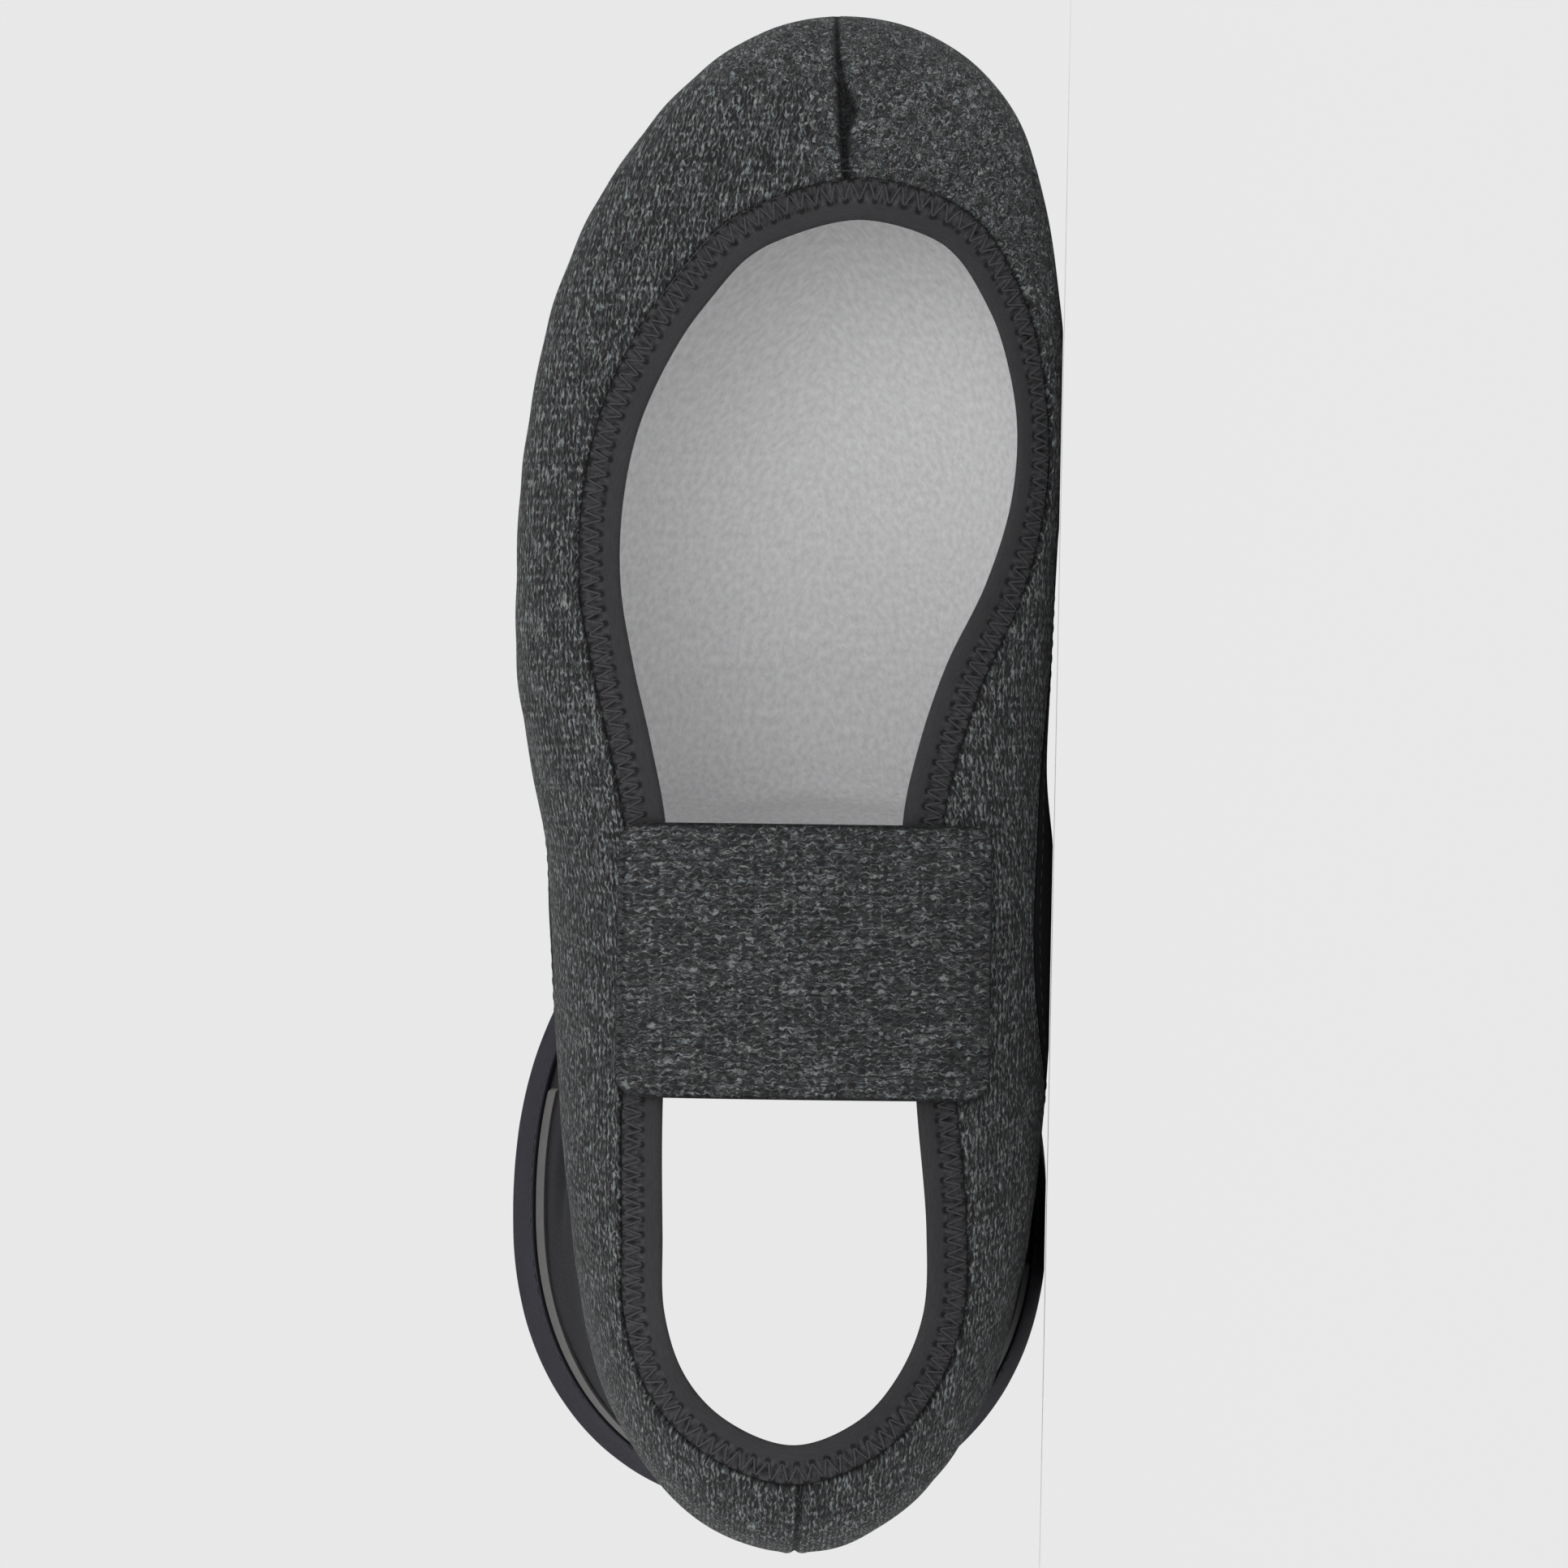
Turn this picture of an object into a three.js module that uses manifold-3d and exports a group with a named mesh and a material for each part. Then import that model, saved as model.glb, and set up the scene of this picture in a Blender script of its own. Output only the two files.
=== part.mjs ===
// A right cycling overshoe, empty and in its worn shape, lying on its inner side.
// In millimetres: +X towards the toe, the underside faces -Y, the outer side is up, and the
// origin is on the floor under the middle of the bounding box.
//
// Everything is first made in the shoe's own frame: x runs from the back of the heel to the
// toe, y from the outer (lateral) to the inner (medial) side, z up from the floor under the
// heel. One tube of sections, from the toe tip round the heel to the cuff, is the form of the
// last, and every piece is a layer of that tube.
import * as THREE from "three";
import { mergeVertices } from "three/addons/utils/BufferGeometryUtils.js";
import Module from "manifold-3d";

const wasm = await Module();
wasm.setup();

// Driving sizes of the last.
const footLength = 290;
const ballWidth = 104;
const heelWidth = 88;
const instepHeight = 100;
const cuffWidth = 108;
const cuffHeight = 160;

// Fabric and trim.
const knitWall = 2.2;
const softshellWall = 1.8;
const seamGap = 0.35;
const bindingWidth = 7.4;
const bindingWall = 1.6;
const bindingRecess = 0.3;
const bridgeLength = 52;
const bridgeWidth = 68.5;
const bridgeWall = 2;
const bridgeCorner = 4;
const bridgeTurn = 0.8; // degrees in the plane of the underside
const cuffBandHeight = 21;
const cuffBandWall = 3;
const cuffBandStep = 0.8; // how far the folded band stands out from the shaft
const reflectorHeight = 8;
const reflectorWall = 0.6;
const reflectorBelowCuff = 1.6;
const dartWidth = 1.2;
const dartDepth = knitWall / 2;
const floorFlat = 0.5; // how deep the soft sides are pressed flat where they lie

// Mesh density.
const aroundSteps = 40;
const outlineSteps = 5;
const cornerSteps = 4;
const reach = 400; // longer than the object, for cutting blocks

// Rows under named columns.
function table(columns, ...rows) {
  return rows.map((row) => Object.fromEntries(columns.map((name, i) => [name, row[i]])));
}

// Toe to arch. at: along the foot; under and over: heights of the underside and the top line
// as shares of the instep height; lateral, medial and ridge: places across as shares of the
// ball width; widest: level of the widest point; flat and dome: how square the section is
// below and above that level.
const footRows = table(
  ["at", "under", "over", "lateral", "medial", "ridge", "widest", "flat", "dome"],
  [1.0, 0.27, 0.27, 0.091, 0.091, 0.091, 0.5, 2.0, 2.0],
  [0.996, 0.2, 0.345, 0.0, 0.183, 0.091, 0.48, 2.1, 2.1],
  [0.985, 0.162, 0.41, -0.08, 0.263, 0.091, 0.46, 2.2, 2.2],
  [0.965, 0.128, 0.462, -0.165, 0.342, 0.088, 0.43, 2.4, 2.3],
  [0.935, 0.1, 0.504, -0.246, 0.404, 0.082, 0.4, 2.6, 2.3],
  [0.895, 0.076, 0.54, -0.328, 0.446, 0.072, 0.37, 2.8, 2.3],
  [0.845, 0.052, 0.577, -0.4, 0.473, 0.062, 0.34, 2.9, 2.25],
  [0.785, 0.031, 0.622, -0.452, 0.489, 0.055, 0.31, 3.0, 2.2],
  [0.715, 0.015, 0.68, -0.486, 0.489, 0.05, 0.29, 3.0, 2.1],
  [0.645, 0.012, 0.744, -0.5, 0.478, 0.045, 0.3, 2.8, 2.05],
  [0.575, 0.022, 0.82, -0.499, 0.469, 0.04, 0.32, 2.7, 2.0],
  [0.51, 0.038, 0.905, -0.474, 0.464, 0.032, 0.34, 2.6, 2.0],
);

// Arch, heel and ankle, where the sections turn round the bend of the ankle. back and front:
// places of the lower and the upper line along the foot; rise: height of the lower line as a
// share of the cuff height; climb: height of the upper line from instep (0) to cuff (1);
// lateral and medial: places across as shares of the heel width.
const heelRows = table(
  ["back", "rise", "front", "climb", "lateral", "medial", "widest", "flat", "dome"],
  [0.448, 0.041, 0.486, -0.05, -0.53, 0.562, 0.36, 2.6, 2.05],
  [0.379, 0.05, 0.47, 0.025, -0.524, 0.572, 0.4, 2.6, 2.1],
  [0.31, 0.041, 0.4585, 0.083, -0.515, 0.562, 0.38, 2.6, 2.15],
  [0.241, 0.021, 0.4505, 0.137, -0.502, 0.545, 0.32, 2.6, 2.2],
  [0.172, 0.006, 0.444, 0.183, -0.486, 0.524, 0.29, 2.5, 2.2],
  [0.11, 0.0, 0.4395, 0.227, -0.47, 0.504, 0.31, 2.35, 2.2],
  [0.0586, 0.009, 0.436, 0.267, -0.46, 0.486, 0.35, 2.15, 2.2],
  [0.0224, 0.05, 0.4335, 0.305, -0.456, 0.476, 0.39, 2.05, 2.2],
  [0.005, 0.119, 0.4315, 0.342, -0.453, 0.466, 0.42, 2.0, 2.2],
  [0.0, 0.2, 0.43, 0.378, -0.452, 0.46, 0.44, 2.0, 2.2],
  [0.0028, 0.2875, 0.429, 0.417, -0.454, 0.458, 0.46, 2.05, 2.2],
  [0.01, 0.3875, 0.4285, 0.458, -0.459, 0.459, 0.47, 2.1, 2.2],
);

// Shaft, flaring up to the cuff: as above, with the places across as shares of the cuff width.
const shaftRows = table(
  ["back", "rise", "front", "climb", "lateral", "medial", "widest", "flat", "dome"],
  [0.0175, 0.494, 0.4285, 0.508, -0.387, 0.381, 0.48, 2.1, 2.2],
  [0.023, 0.594, 0.4295, 0.575, -0.404, 0.398, 0.48, 2.15, 2.2],
  [0.025, 0.675, 0.431, 0.658, -0.426, 0.417, 0.47, 2.2, 2.2],
  [0.0225, 0.756, 0.4335, 0.758, -0.45, 0.436, 0.46, 2.2, 2.2],
  [0.0155, 0.84, 0.438, 0.872, -0.476, 0.455, 0.46, 2.2, 2.2],
  [0.005, 0.925, 0.4455, 1.0, -0.503, 0.472, 0.45, 2.2, 2.2],
);

// The long cut-out of the underside, from its toe end to its heel end: inner edge of the
// binding on each side, along as shares of the foot length, across as shares of ball width.
// seen: how much of the binding's width shows in plan on the medial side, where it climbs the
// edge of the last.
const cutoutToe = { at: 0.865, across: 0.12, seen: 1 };
const cutoutHeel = { at: 0.075, across: 0, seen: 1 };
const cutoutRows = table(
  ["at", "lateral", "medial", "seen"],
  [0.853, -0.017, 0.252, 1],
  [0.84, -0.083, 0.299, 0.98],
  [0.813, -0.151, 0.347, 0.92],
  [0.787, -0.204, 0.378, 0.86],
  [0.735, -0.275, 0.407, 0.78],
  [0.682, -0.308, 0.397, 0.84],
  [0.629, -0.313, 0.35, 0.95],
  [0.577, -0.29, 0.278, 1],
  [0.525, -0.258, 0.228, 1],
  [0.472, -0.232, 0.198, 1],
  [0.38, -0.229, 0.21, 1],
  [0.29, -0.239, 0.225, 1],
  [0.212, -0.239, 0.242, 1],
  [0.159, -0.236, 0.236, 1],
  [0.119, -0.199, 0.19, 1],
  [0.091, -0.124, 0.119, 1],
);
const bridgeCentre = { at: 0.386, across: 0.019 };

// How far forward the two square ends of the reflective strip reach, along the foot.
const reflectorEnds = { lateral: 0.3, medial: 0.175 };

// Top edge of the knitted body in the side view, as shares of the instep height.
const seamRows = table(
  ["at", "lateral", "medial"],
  [-0.15, 0.58, 0.58],
  [0.07, 0.57, 0.57],
  [0.155, 0.5, 0.48],
  [0.24, 0.43, 0.36],
  [0.33, 0.385, 0.27],
  [0.42, 0.37, 0.235],
  [0.52, 0.37, 0.225],
  [0.62, 0.375, 0.235],
  [0.72, 0.385, 0.29],
  [0.81, 0.41, 0.36],
  [0.865, 0.465, 0.445],
  [0.9, 0.56, 0.55],
  [0.94, 0.7, 0.7],
  [1.1, 0.9, 0.9],
);

const sections = [
  ...footRows.map(footSection),
  ...heelRows.map(ankleSection(heelWidth)),
  ...shaftRows.map(ankleSection(cuffWidth)),
];
const lastRow = sections.length - 1;
const heelStartRow = footRows.length;

// One section of the foot, standing across it, in millimetres.
function footSection(row) {
  return {
    backX: row.at * footLength,
    backZ: row.under * instepHeight,
    frontX: row.at * footLength,
    frontZ: row.over * instepHeight,
    lateral: row.lateral * ballWidth,
    medial: row.medial * ballWidth,
    ridge: row.ridge * ballWidth,
    widest: row.widest,
    flat: row.flat,
    dome: row.dome,
  };
}

// One section of the heel or the shaft, turned round the bend of the ankle.
function ankleSection(width) {
  return (row) => ({
    backX: row.back * footLength,
    backZ: row.rise * cuffHeight,
    frontX: row.front * footLength,
    frontZ: instepHeight + row.climb * (cuffHeight - instepHeight),
    lateral: row.lateral * width,
    medial: row.medial * width,
    ridge: 0,
    widest: row.widest,
    flat: row.flat,
    dome: row.dome,
  });
}

// Catmull-Rom between four neighbours.
function between(before, from, to, after, t) {
  const slopeFrom = (to - before) / 2;
  const slopeTo = (after - from) / 2;
  const t2 = t * t;
  const t3 = t2 * t;
  const place = (2 * t3 - 3 * t2 + 1) * from + (3 * t2 - 2 * t3) * to;
  return place + (t3 - 2 * t2 + t) * slopeFrom + (t3 - t2) * slopeTo;
}

// The section at a place k between the rows. Past the toe tip the form is mirrored, so that
// the toe is round, and past the cuff it goes on straight.
function sectionAt(k) {
  const index = Math.min(Math.floor(k), lastRow - 1);
  const mixed = {};
  for (const field of Object.keys(sections[0])) {
    const from = sections[index][field];
    const to = sections[index + 1][field];
    const even = field === "backX" || field === "frontX";
    const before = index > 0 ? sections[index - 1][field] : even ? to : 2 * from - to;
    const after = index + 2 <= lastRow ? sections[index + 2][field] : 2 * to - from;
    mixed[field] = between(before, from, to, after, k - index);
  }
  return mixed;
}

// A point of the last: k along the tube, turn from 0 at the underside or the back, over the
// medial side, to 0.5 at the top or the front, and on over the lateral side to 1.
function surfacePoint(k, turn) {
  const s = sectionAt(k);
  const cos = Math.cos(2 * Math.PI * turn);
  const sin = Math.sin(2 * Math.PI * turn);
  const below = cos > 0;
  const power = 2 / (below ? s.flat : s.dome);
  const rise = Math.abs(cos) ** power;
  const level = below ? s.widest * (1 - rise) : s.widest + (1 - s.widest) * rise;
  const middle = (s.lateral + s.medial) / 2 + level * (s.ridge - (s.lateral + s.medial) / 2);
  const side = sin > 0 ? s.medial : s.lateral;
  return new THREE.Vector3(
    s.backX + level * (s.frontX - s.backX),
    middle + (side - middle) * Math.abs(sin) ** power,
    s.backZ + level * (s.frontZ - s.backZ),
  );
}

// The direction out of the last at that point.
function surfaceNormal(k, turn) {
  const step = 0.02;
  if (k < step) return new THREE.Vector3(1, 0, 0);
  const along = surfacePoint(Math.min(k + step, lastRow), turn).sub(surfacePoint(k - step, turn));
  const round = surfacePoint(k, turn + step).sub(surfacePoint(k, turn - step));
  return along.cross(round).normalize();
}

function layerPoint(k, turn, outset) {
  return surfacePoint(k, turn).addScaledVector(surfaceNormal(k, turn), outset);
}

// A closed solid from rings of points, each ring joined to the next and the last to the first.
function solidFromRings(rings) {
  const count = rings[0].length;
  const positions = rings.flat().flatMap((p) => [p.x, p.y, p.z]);
  const index = [];
  rings.forEach((_, r) => {
    const next = (r + 1) % rings.length;
    for (let i = 0; i < count; i++) {
      const j = (i + 1) % count;
      index.push(r * count + i, next * count + i, next * count + j);
      index.push(r * count + i, next * count + j, r * count + j);
    }
  });
  const geometry = new THREE.BufferGeometry();
  geometry.setAttribute("position", new THREE.Float32BufferAttribute(positions, 3));
  geometry.setIndex(index);
  return solidFromGeometry(geometry);
}

// A manifold solid from a closed geometry, turned face out.
function solidFromGeometry(geometry) {
  const bare = geometry.index ? geometry.clone() : geometry;
  bare.deleteAttribute("normal");
  bare.deleteAttribute("uv");
  const merged = mergeVertices(bare, 1e-4);
  const corners = merged.index.array;
  const kept = [];
  for (let i = 0; i < corners.length; i += 3) {
    const [a, b, c] = [corners[i], corners[i + 1], corners[i + 2]];
    if (a !== b && b !== c && c !== a) kept.push(a, b, c);
  }
  const vertProperties = merged.attributes.position.array;
  const make = (triangles) => {
    const triVerts = new Uint32Array(triangles);
    return new wasm.Manifold(new wasm.Mesh({ numProp: 3, vertProperties, triVerts }));
  };
  const made = make(kept);
  return made.volume() > 0 ? made : make(kept.reverse());
}

// A layer of the whole tube between two distances from the last, from row start to row end.
function tubeLayer(outer, inner, start, end) {
  const stops = [start];
  for (let k = Math.floor(start) + 1; k < end; k++) stops.push(k);
  stops.push(end);
  const turns = Array.from({ length: aroundSteps }, (_, i) => i / aroundSteps);
  const ring = (k, outset) => turns.map((turn) => layerPoint(k, turn, outset));
  const outside = stops.map((k) => ring(k, outer));
  const inside = stops.toReversed().map((k) => ring(k, inner));
  return solidFromRings([...outside, ...inside]);
}

// A box with its low and high corners, as a solid.
function boxSolid(low, high) {
  const size = high.map((v, i) => v - low[i]);
  const geometry = new THREE.BoxGeometry(...size);
  geometry.translate(...low.map((v, i) => v + size[i] / 2));
  return solidFromGeometry(geometry);
}

// An upright prism over a closed outline of the underside.
function prism(outline, low, high) {
  const settings = { depth: high - low, bevelEnabled: false };
  const geometry = new THREE.ExtrudeGeometry(new THREE.Shape(outline), settings);
  geometry.translate(0, 0, low);
  return solidFromGeometry(geometry);
}

// The cut-out's outline, moved outwards by a distance. The third coordinate of its points
// carries how much of that distance shows in plan.
function cutoutOutline(outset) {
  const end = ({ at, across, seen }) => new THREE.Vector3(at * footLength, across * ballWidth, seen);
  const medial = cutoutRows.map((row) => end({ ...row, across: row.medial }));
  const lateral = cutoutRows.map((row) => end({ ...row, across: row.lateral, seen: 1 }));
  const stops = [end(cutoutToe), ...medial, end(cutoutHeel), ...lateral.reverse()];
  const curve = new THREE.CatmullRomCurve3(stops, true, "centripetal");
  const count = stops.length * outlineSteps;
  return Array.from({ length: count }, (_, i) => {
    const point = curve.getPoint(i / count);
    const along = curve.getTangent(i / count).setZ(0).normalize();
    const move = outset * point.z;
    return new THREE.Vector2(point.x + along.y * move, point.y - along.x * move);
  });
}

// The rounded rectangle of the bridge panel, as wide and long as its two sizes.
function bridgeOutline() {
  const x = bridgeLength / 2 - bridgeCorner;
  const y = bridgeWidth / 2 - bridgeCorner;
  const quarter = Math.PI / 2;
  const shape = new THREE.Shape();
  shape.absarc(x, -y, bridgeCorner, -quarter, 0);
  shape.absarc(x, y, bridgeCorner, 0, quarter);
  shape.absarc(-x, y, bridgeCorner, quarter, 2 * quarter);
  shape.absarc(-x, -y, bridgeCorner, 2 * quarter, 3 * quarter);
  const centre = new THREE.Vector2(bridgeCentre.at * footLength, bridgeCentre.across * ballWidth);
  const turn = THREE.MathUtils.degToRad(bridgeTurn);
  const middle = new THREE.Vector2();
  return shape.getPoints(cornerSteps).map((p) => p.rotateAround(middle, turn).add(centre));
}

// Height of the knitted body's top edge at a place of the plan.
function seamHeight(x, y) {
  const at = x / footLength;
  const across = THREE.MathUtils.smoothstep(y / ballWidth, -0.5, 0.5);
  const row = Math.max(0, seamRows.findLastIndex((r) => r.at <= at));
  const from = seamRows[row];
  const to = seamRows[Math.min(row + 1, seamRows.length - 1)];
  const ease = THREE.MathUtils.smoothstep(at, from.at, to.at);
  const lateral = THREE.MathUtils.lerp(from.lateral, to.lateral, ease);
  const medial = THREE.MathUtils.lerp(from.medial, to.medial, ease);
  return THREE.MathUtils.lerp(lateral, medial, across) * instepHeight;
}

// Everything below the seam, raised by a clearance.
function belowSeam(clearance) {
  const columns = [-1, -0.5, -0.25, 0, 0.25, 0.5, 1].map((share) => share * ballWidth);
  const stops = seamRows.flatMap((row, i) => {
    const next = seamRows[i + 1];
    return next ? [row.at * footLength, ((row.at + next.at) / 2) * footLength] : [row.at * footLength];
  });
  const rings = stops.map((x) => {
    const top = columns.map((y) => new THREE.Vector3(x, y, seamHeight(x, y) + clearance));
    const bottom = columns.toReversed().map((y) => new THREE.Vector3(x, y, -reach));
    return [...top, ...bottom];
  });
  return cappedLoft(rings);
}

// A closed solid through rings of points, with a flat cap on the first and the last.
function cappedLoft(rings) {
  const count = rings[0].length;
  const centre = (ring) => ring.reduce((sum, p) => sum.add(p), new THREE.Vector3()).divideScalar(count);
  const point = (ring) => Array.from({ length: count }, () => centre(ring));
  return solidFromRings([point(rings[0]), ...rings, point(rings[rings.length - 1])]);
}

// A thin groove in the outside of the knit, in an upright plane along the foot.
function seamGroove(y, fromX, toX, topZ) {
  const skin = tubeLayer(dartDepth, -dartDepth, 0, lastRow);
  const slit = boxSolid([fromX, y - dartWidth / 2, -reach], [toX, y + dartWidth / 2, topZ]);
  return skin.intersect(slit);
}

// The place k at a distance below the cuff's top edge, measured up the back of the shaft.
function rowBelowCuff(distance) {
  let left = distance;
  let k = lastRow;
  const step = 0.02;
  while (left > 0 && k > step) {
    left -= surfacePoint(k, 0).distanceTo(surfacePoint(k - step, 0));
    k -= step;
  }
  return k;
}

const cutDepth = 0.2 * instepHeight; // above the underside anywhere, below the widest of the sides
const cuffRow = rowBelowCuff(cuffBandHeight);

function knitBody() {
  const holes = prism(cutoutOutline(bindingWidth + seamGap), -cutDepth, cutDepth);
  const toeX = cutoutToe.at * footLength;
  const heelX = cutoutHeel.at * footLength;
  const toeDart = seamGroove(sections[0].ridge, toeX, reach, sections[0].backZ);
  const heelTop = seamRows[0].medial * instepHeight;
  const heelSeam = seamGroove(cutoutHeel.across * ballWidth, -reach, heelX, heelTop);
  const body = tubeLayer(0, -knitWall, 0, lastRow).intersect(belowSeam(0));
  return body.subtract(holes).subtract(toeDart).subtract(heelSeam);
}

function softshellTop() {
  const end = rowBelowCuff(cuffBandHeight + seamGap);
  return tubeLayer(0, -softshellWall, 0, end).subtract(belowSeam(seamGap));
}

function cuffBand() {
  return tubeLayer(cuffBandStep, cuffBandStep - cuffBandWall, cuffRow, lastRow);
}

function openingBinding() {
  const hole = prism(cutoutOutline(0), -reach, reach);
  const ring = prism(cutoutOutline(bindingWidth), -cutDepth, cutDepth).subtract(hole);
  return tubeLayer(-bindingRecess, -bindingRecess - bindingWall, 0, lastRow).intersect(ring);
}

function bridgePanel() {
  const block = prism(bridgeOutline(), -cutDepth, cutDepth);
  return tubeLayer(seamGap + bridgeWall, seamGap, 0, lastRow).intersect(block);
}

// The reflective strip round the back of the shaft, its square ends at two places along it.
function reflectiveStrip() {
  const low = rowBelowCuff(cuffBandHeight + reflectorBelowCuff + reflectorHeight);
  const high = rowBelowCuff(cuffBandHeight + reflectorBelowCuff);
  const lateralPart = boxSolid([-reach, -reach, 0], [reflectorEnds.lateral * footLength, 0, reach]);
  const medialPart = boxSolid([-reach, -seamGap, 0], [reflectorEnds.medial * footLength, reach, reach]);
  const strip = tubeLayer(seamGap + reflectorWall, seamGap, low, high);
  return strip.intersect(lateralPart.add(medialPart));
}

// The plane of the floor in the shoe's frame: it touches the medial side at the forefoot, the
// heel and the cuff. Its normal points out of the shoe.
function floorPlane() {
  const zones = [
    [3, heelStartRow - 1, 0],
    [heelStartRow + 2, heelStartRow + 8, 0],
    [cuffRow, lastRow, cuffBandStep],
  ];
  const points = zones.map(([from, to, outset]) => {
    const found = [];
    for (let k = from; k <= to; k += 0.25) {
      for (let turn = 0.02; turn < 0.5; turn += 0.01) {
        found.push(layerPoint(Math.min(k, lastRow), turn, outset));
      }
    }
    return found;
  });
  const normal = new THREE.Vector3(0, 1, 0);
  const furthest = (zone) => zone.reduce((best, p) => (p.dot(normal) > best.dot(normal) ? p : best));
  for (let i = 0; i < 8; i++) {
    const [ball, heel, cuff] = points.map(furthest);
    normal.copy(heel.clone().sub(ball)).cross(cuff.clone().sub(ball)).normalize();
    if (normal.y < 0) normal.negate();
  }
  return { normal, distance: furthest(points[0]).dot(normal) };
}

// The turn and drop that lay the shoe down on that plane, toe towards +X.
function layingMatrix() {
  const { normal, distance } = floorPlane();
  const up = normal.clone().negate();
  const ahead = new THREE.Vector3(1, 0, 0).addScaledVector(normal, -normal.x).normalize();
  const beside = up.clone().cross(ahead);
  const turn = new THREE.Matrix4().makeBasis(ahead, beside, up).transpose();
  return new THREE.Matrix4().makeTranslation(0, 0, distance - floorFlat).multiply(turn);
}

// A solid's faces as an indexed geometry.
function facesOf(solid) {
  const mesh = solid.getMesh();
  const geometry = new THREE.BufferGeometry();
  const points = new THREE.Float32BufferAttribute(mesh.vertProperties, mesh.numProp);
  geometry.setAttribute("position", points);
  geometry.setIndex([...mesh.triVerts]);
  return geometry;
}

// Lays a solid down and presses it flat where it meets the floor.
function laidDown(solid, matrix) {
  const geometry = facesOf(solid);
  geometry.applyMatrix4(matrix);
  const underFloor = boxSolid([-reach, -reach, -reach], [reach, reach, 0]);
  return solidFromGeometry(geometry).subtract(underFloor);
}

// The same with flat shading, for a mesh.
function shownGeometry(solid) {
  const shown = facesOf(solid).toNonIndexed();
  shown.computeVertexNormals();
  return shown;
}

const knit = new THREE.MeshStandardMaterial({ color: 0x3f4243, roughness: 0.95, metalness: 0 });
const bridgeKnit = new THREE.MeshStandardMaterial({ color: 0x383b3d, roughness: 0.95, metalness: 0 });
const softshell = new THREE.MeshStandardMaterial({ color: 0x2f3137, roughness: 0.6, metalness: 0 });
const elastic = new THREE.MeshStandardMaterial({ color: 0x333336, roughness: 0.85, metalness: 0 });
const reflective = new THREE.MeshStandardMaterial({ color: 0x6f6e6d, roughness: 0.45, metalness: 0 });

const pieces = [
  { name: "knit_body", solid: knitBody(), material: knit },
  { name: "softshell_top", solid: softshellTop(), material: softshell },
  { name: "cuff_band", solid: cuffBand(), material: softshell },
  { name: "reflective_strip", solid: reflectiveStrip(), material: reflective },
  { name: "opening_binding", solid: openingBinding(), material: elastic },
  { name: "bridge_panel", solid: bridgePanel(), material: bridgeKnit },
];

const laying = layingMatrix();
const overshoe = new THREE.Group();
for (const piece of pieces) {
  const mesh = new THREE.Mesh(shownGeometry(laidDown(piece.solid, laying)), piece.material);
  mesh.name = piece.name;
  overshoe.add(mesh);
}

// The origin is on the floor under the middle of the bounding box.
const bounds = new THREE.Box3().setFromObject(overshoe);
const middle = bounds.getCenter(new THREE.Vector3());
for (const mesh of overshoe.children) mesh.geometry.translate(-middle.x, -middle.y, 0);

export default overshoe;
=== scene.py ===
"""The looks of a right cycling overshoe that lies empty on its inner side.

Lengths are in millimetres, in the overshoe's own frame, until a mesh is laid down: x runs from the
back of the heel to the toe, y from the outer to the inner side, and z up from the floor under the
heel. One tube of sections is the form of the last. A place on it is given by k, which counts the
sections from the toe tip to the cuff, and by turn, which goes round from 0 at the underside or
the back, over the inner side, to 0.5 at the top or the front. The outer side has negative turns.
"""

import logging
import math
from dataclasses import dataclass, field
from enum import Enum
from typing import NamedTuple, Sequence, Union

import bpy
import numpy as np
from mathutils import Matrix, Vector

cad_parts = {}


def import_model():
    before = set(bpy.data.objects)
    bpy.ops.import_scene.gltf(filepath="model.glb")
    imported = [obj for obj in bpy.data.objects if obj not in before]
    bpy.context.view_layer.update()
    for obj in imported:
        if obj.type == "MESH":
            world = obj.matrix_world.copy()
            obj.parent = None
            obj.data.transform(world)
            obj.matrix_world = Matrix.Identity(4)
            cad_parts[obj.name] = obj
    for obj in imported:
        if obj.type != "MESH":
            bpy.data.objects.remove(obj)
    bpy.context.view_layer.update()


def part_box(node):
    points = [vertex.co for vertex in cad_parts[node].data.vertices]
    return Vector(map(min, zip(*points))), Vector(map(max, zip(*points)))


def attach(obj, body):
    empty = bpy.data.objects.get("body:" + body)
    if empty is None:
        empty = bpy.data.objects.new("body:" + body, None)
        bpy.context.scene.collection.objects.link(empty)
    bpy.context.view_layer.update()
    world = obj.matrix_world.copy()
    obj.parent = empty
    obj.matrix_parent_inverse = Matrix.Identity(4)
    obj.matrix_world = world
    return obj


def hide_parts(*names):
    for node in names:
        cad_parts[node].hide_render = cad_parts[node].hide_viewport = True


Array = np.ndarray
Colour = tuple[float, float, float, float]
Socket = bpy.types.NodeSocket
Value = Union[Socket, float, Colour, tuple[float, float, float]]

MILLIMETRE = 0.001
BODY = "root"
LOG = logging.getLogger("overshoe")

# A mark where no edge, seam or stitch is near, in millimetres.
FAR = 9.0


class FootRow(NamedTuple):
    """A section across the foot, from toe to arch.

    at is its place along the foot; under and over are the heights of the underside and the top line,
    of the instep height; lateral, medial and ridge are places across, of the ball width; widest is
    the level of the widest point; flat and dome say how square it is below and above that level.
    """

    at: float
    under: float
    over: float
    lateral: float
    medial: float
    ridge: float
    widest: float
    flat: float
    dome: float


class AnkleRow(NamedTuple):
    """A section of the arch, the heel or the shaft.

    back and front are the places of the lower and the upper line along the foot; rise is the height
    of the lower line, of the cuff height; climb is the height of the upper line from instep to cuff;
    lateral and medial are places across, of the heel width, or of the cuff width up the shaft.
    """

    back: float
    rise: float
    front: float
    climb: float
    lateral: float
    medial: float
    widest: float
    flat: float
    dome: float


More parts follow.
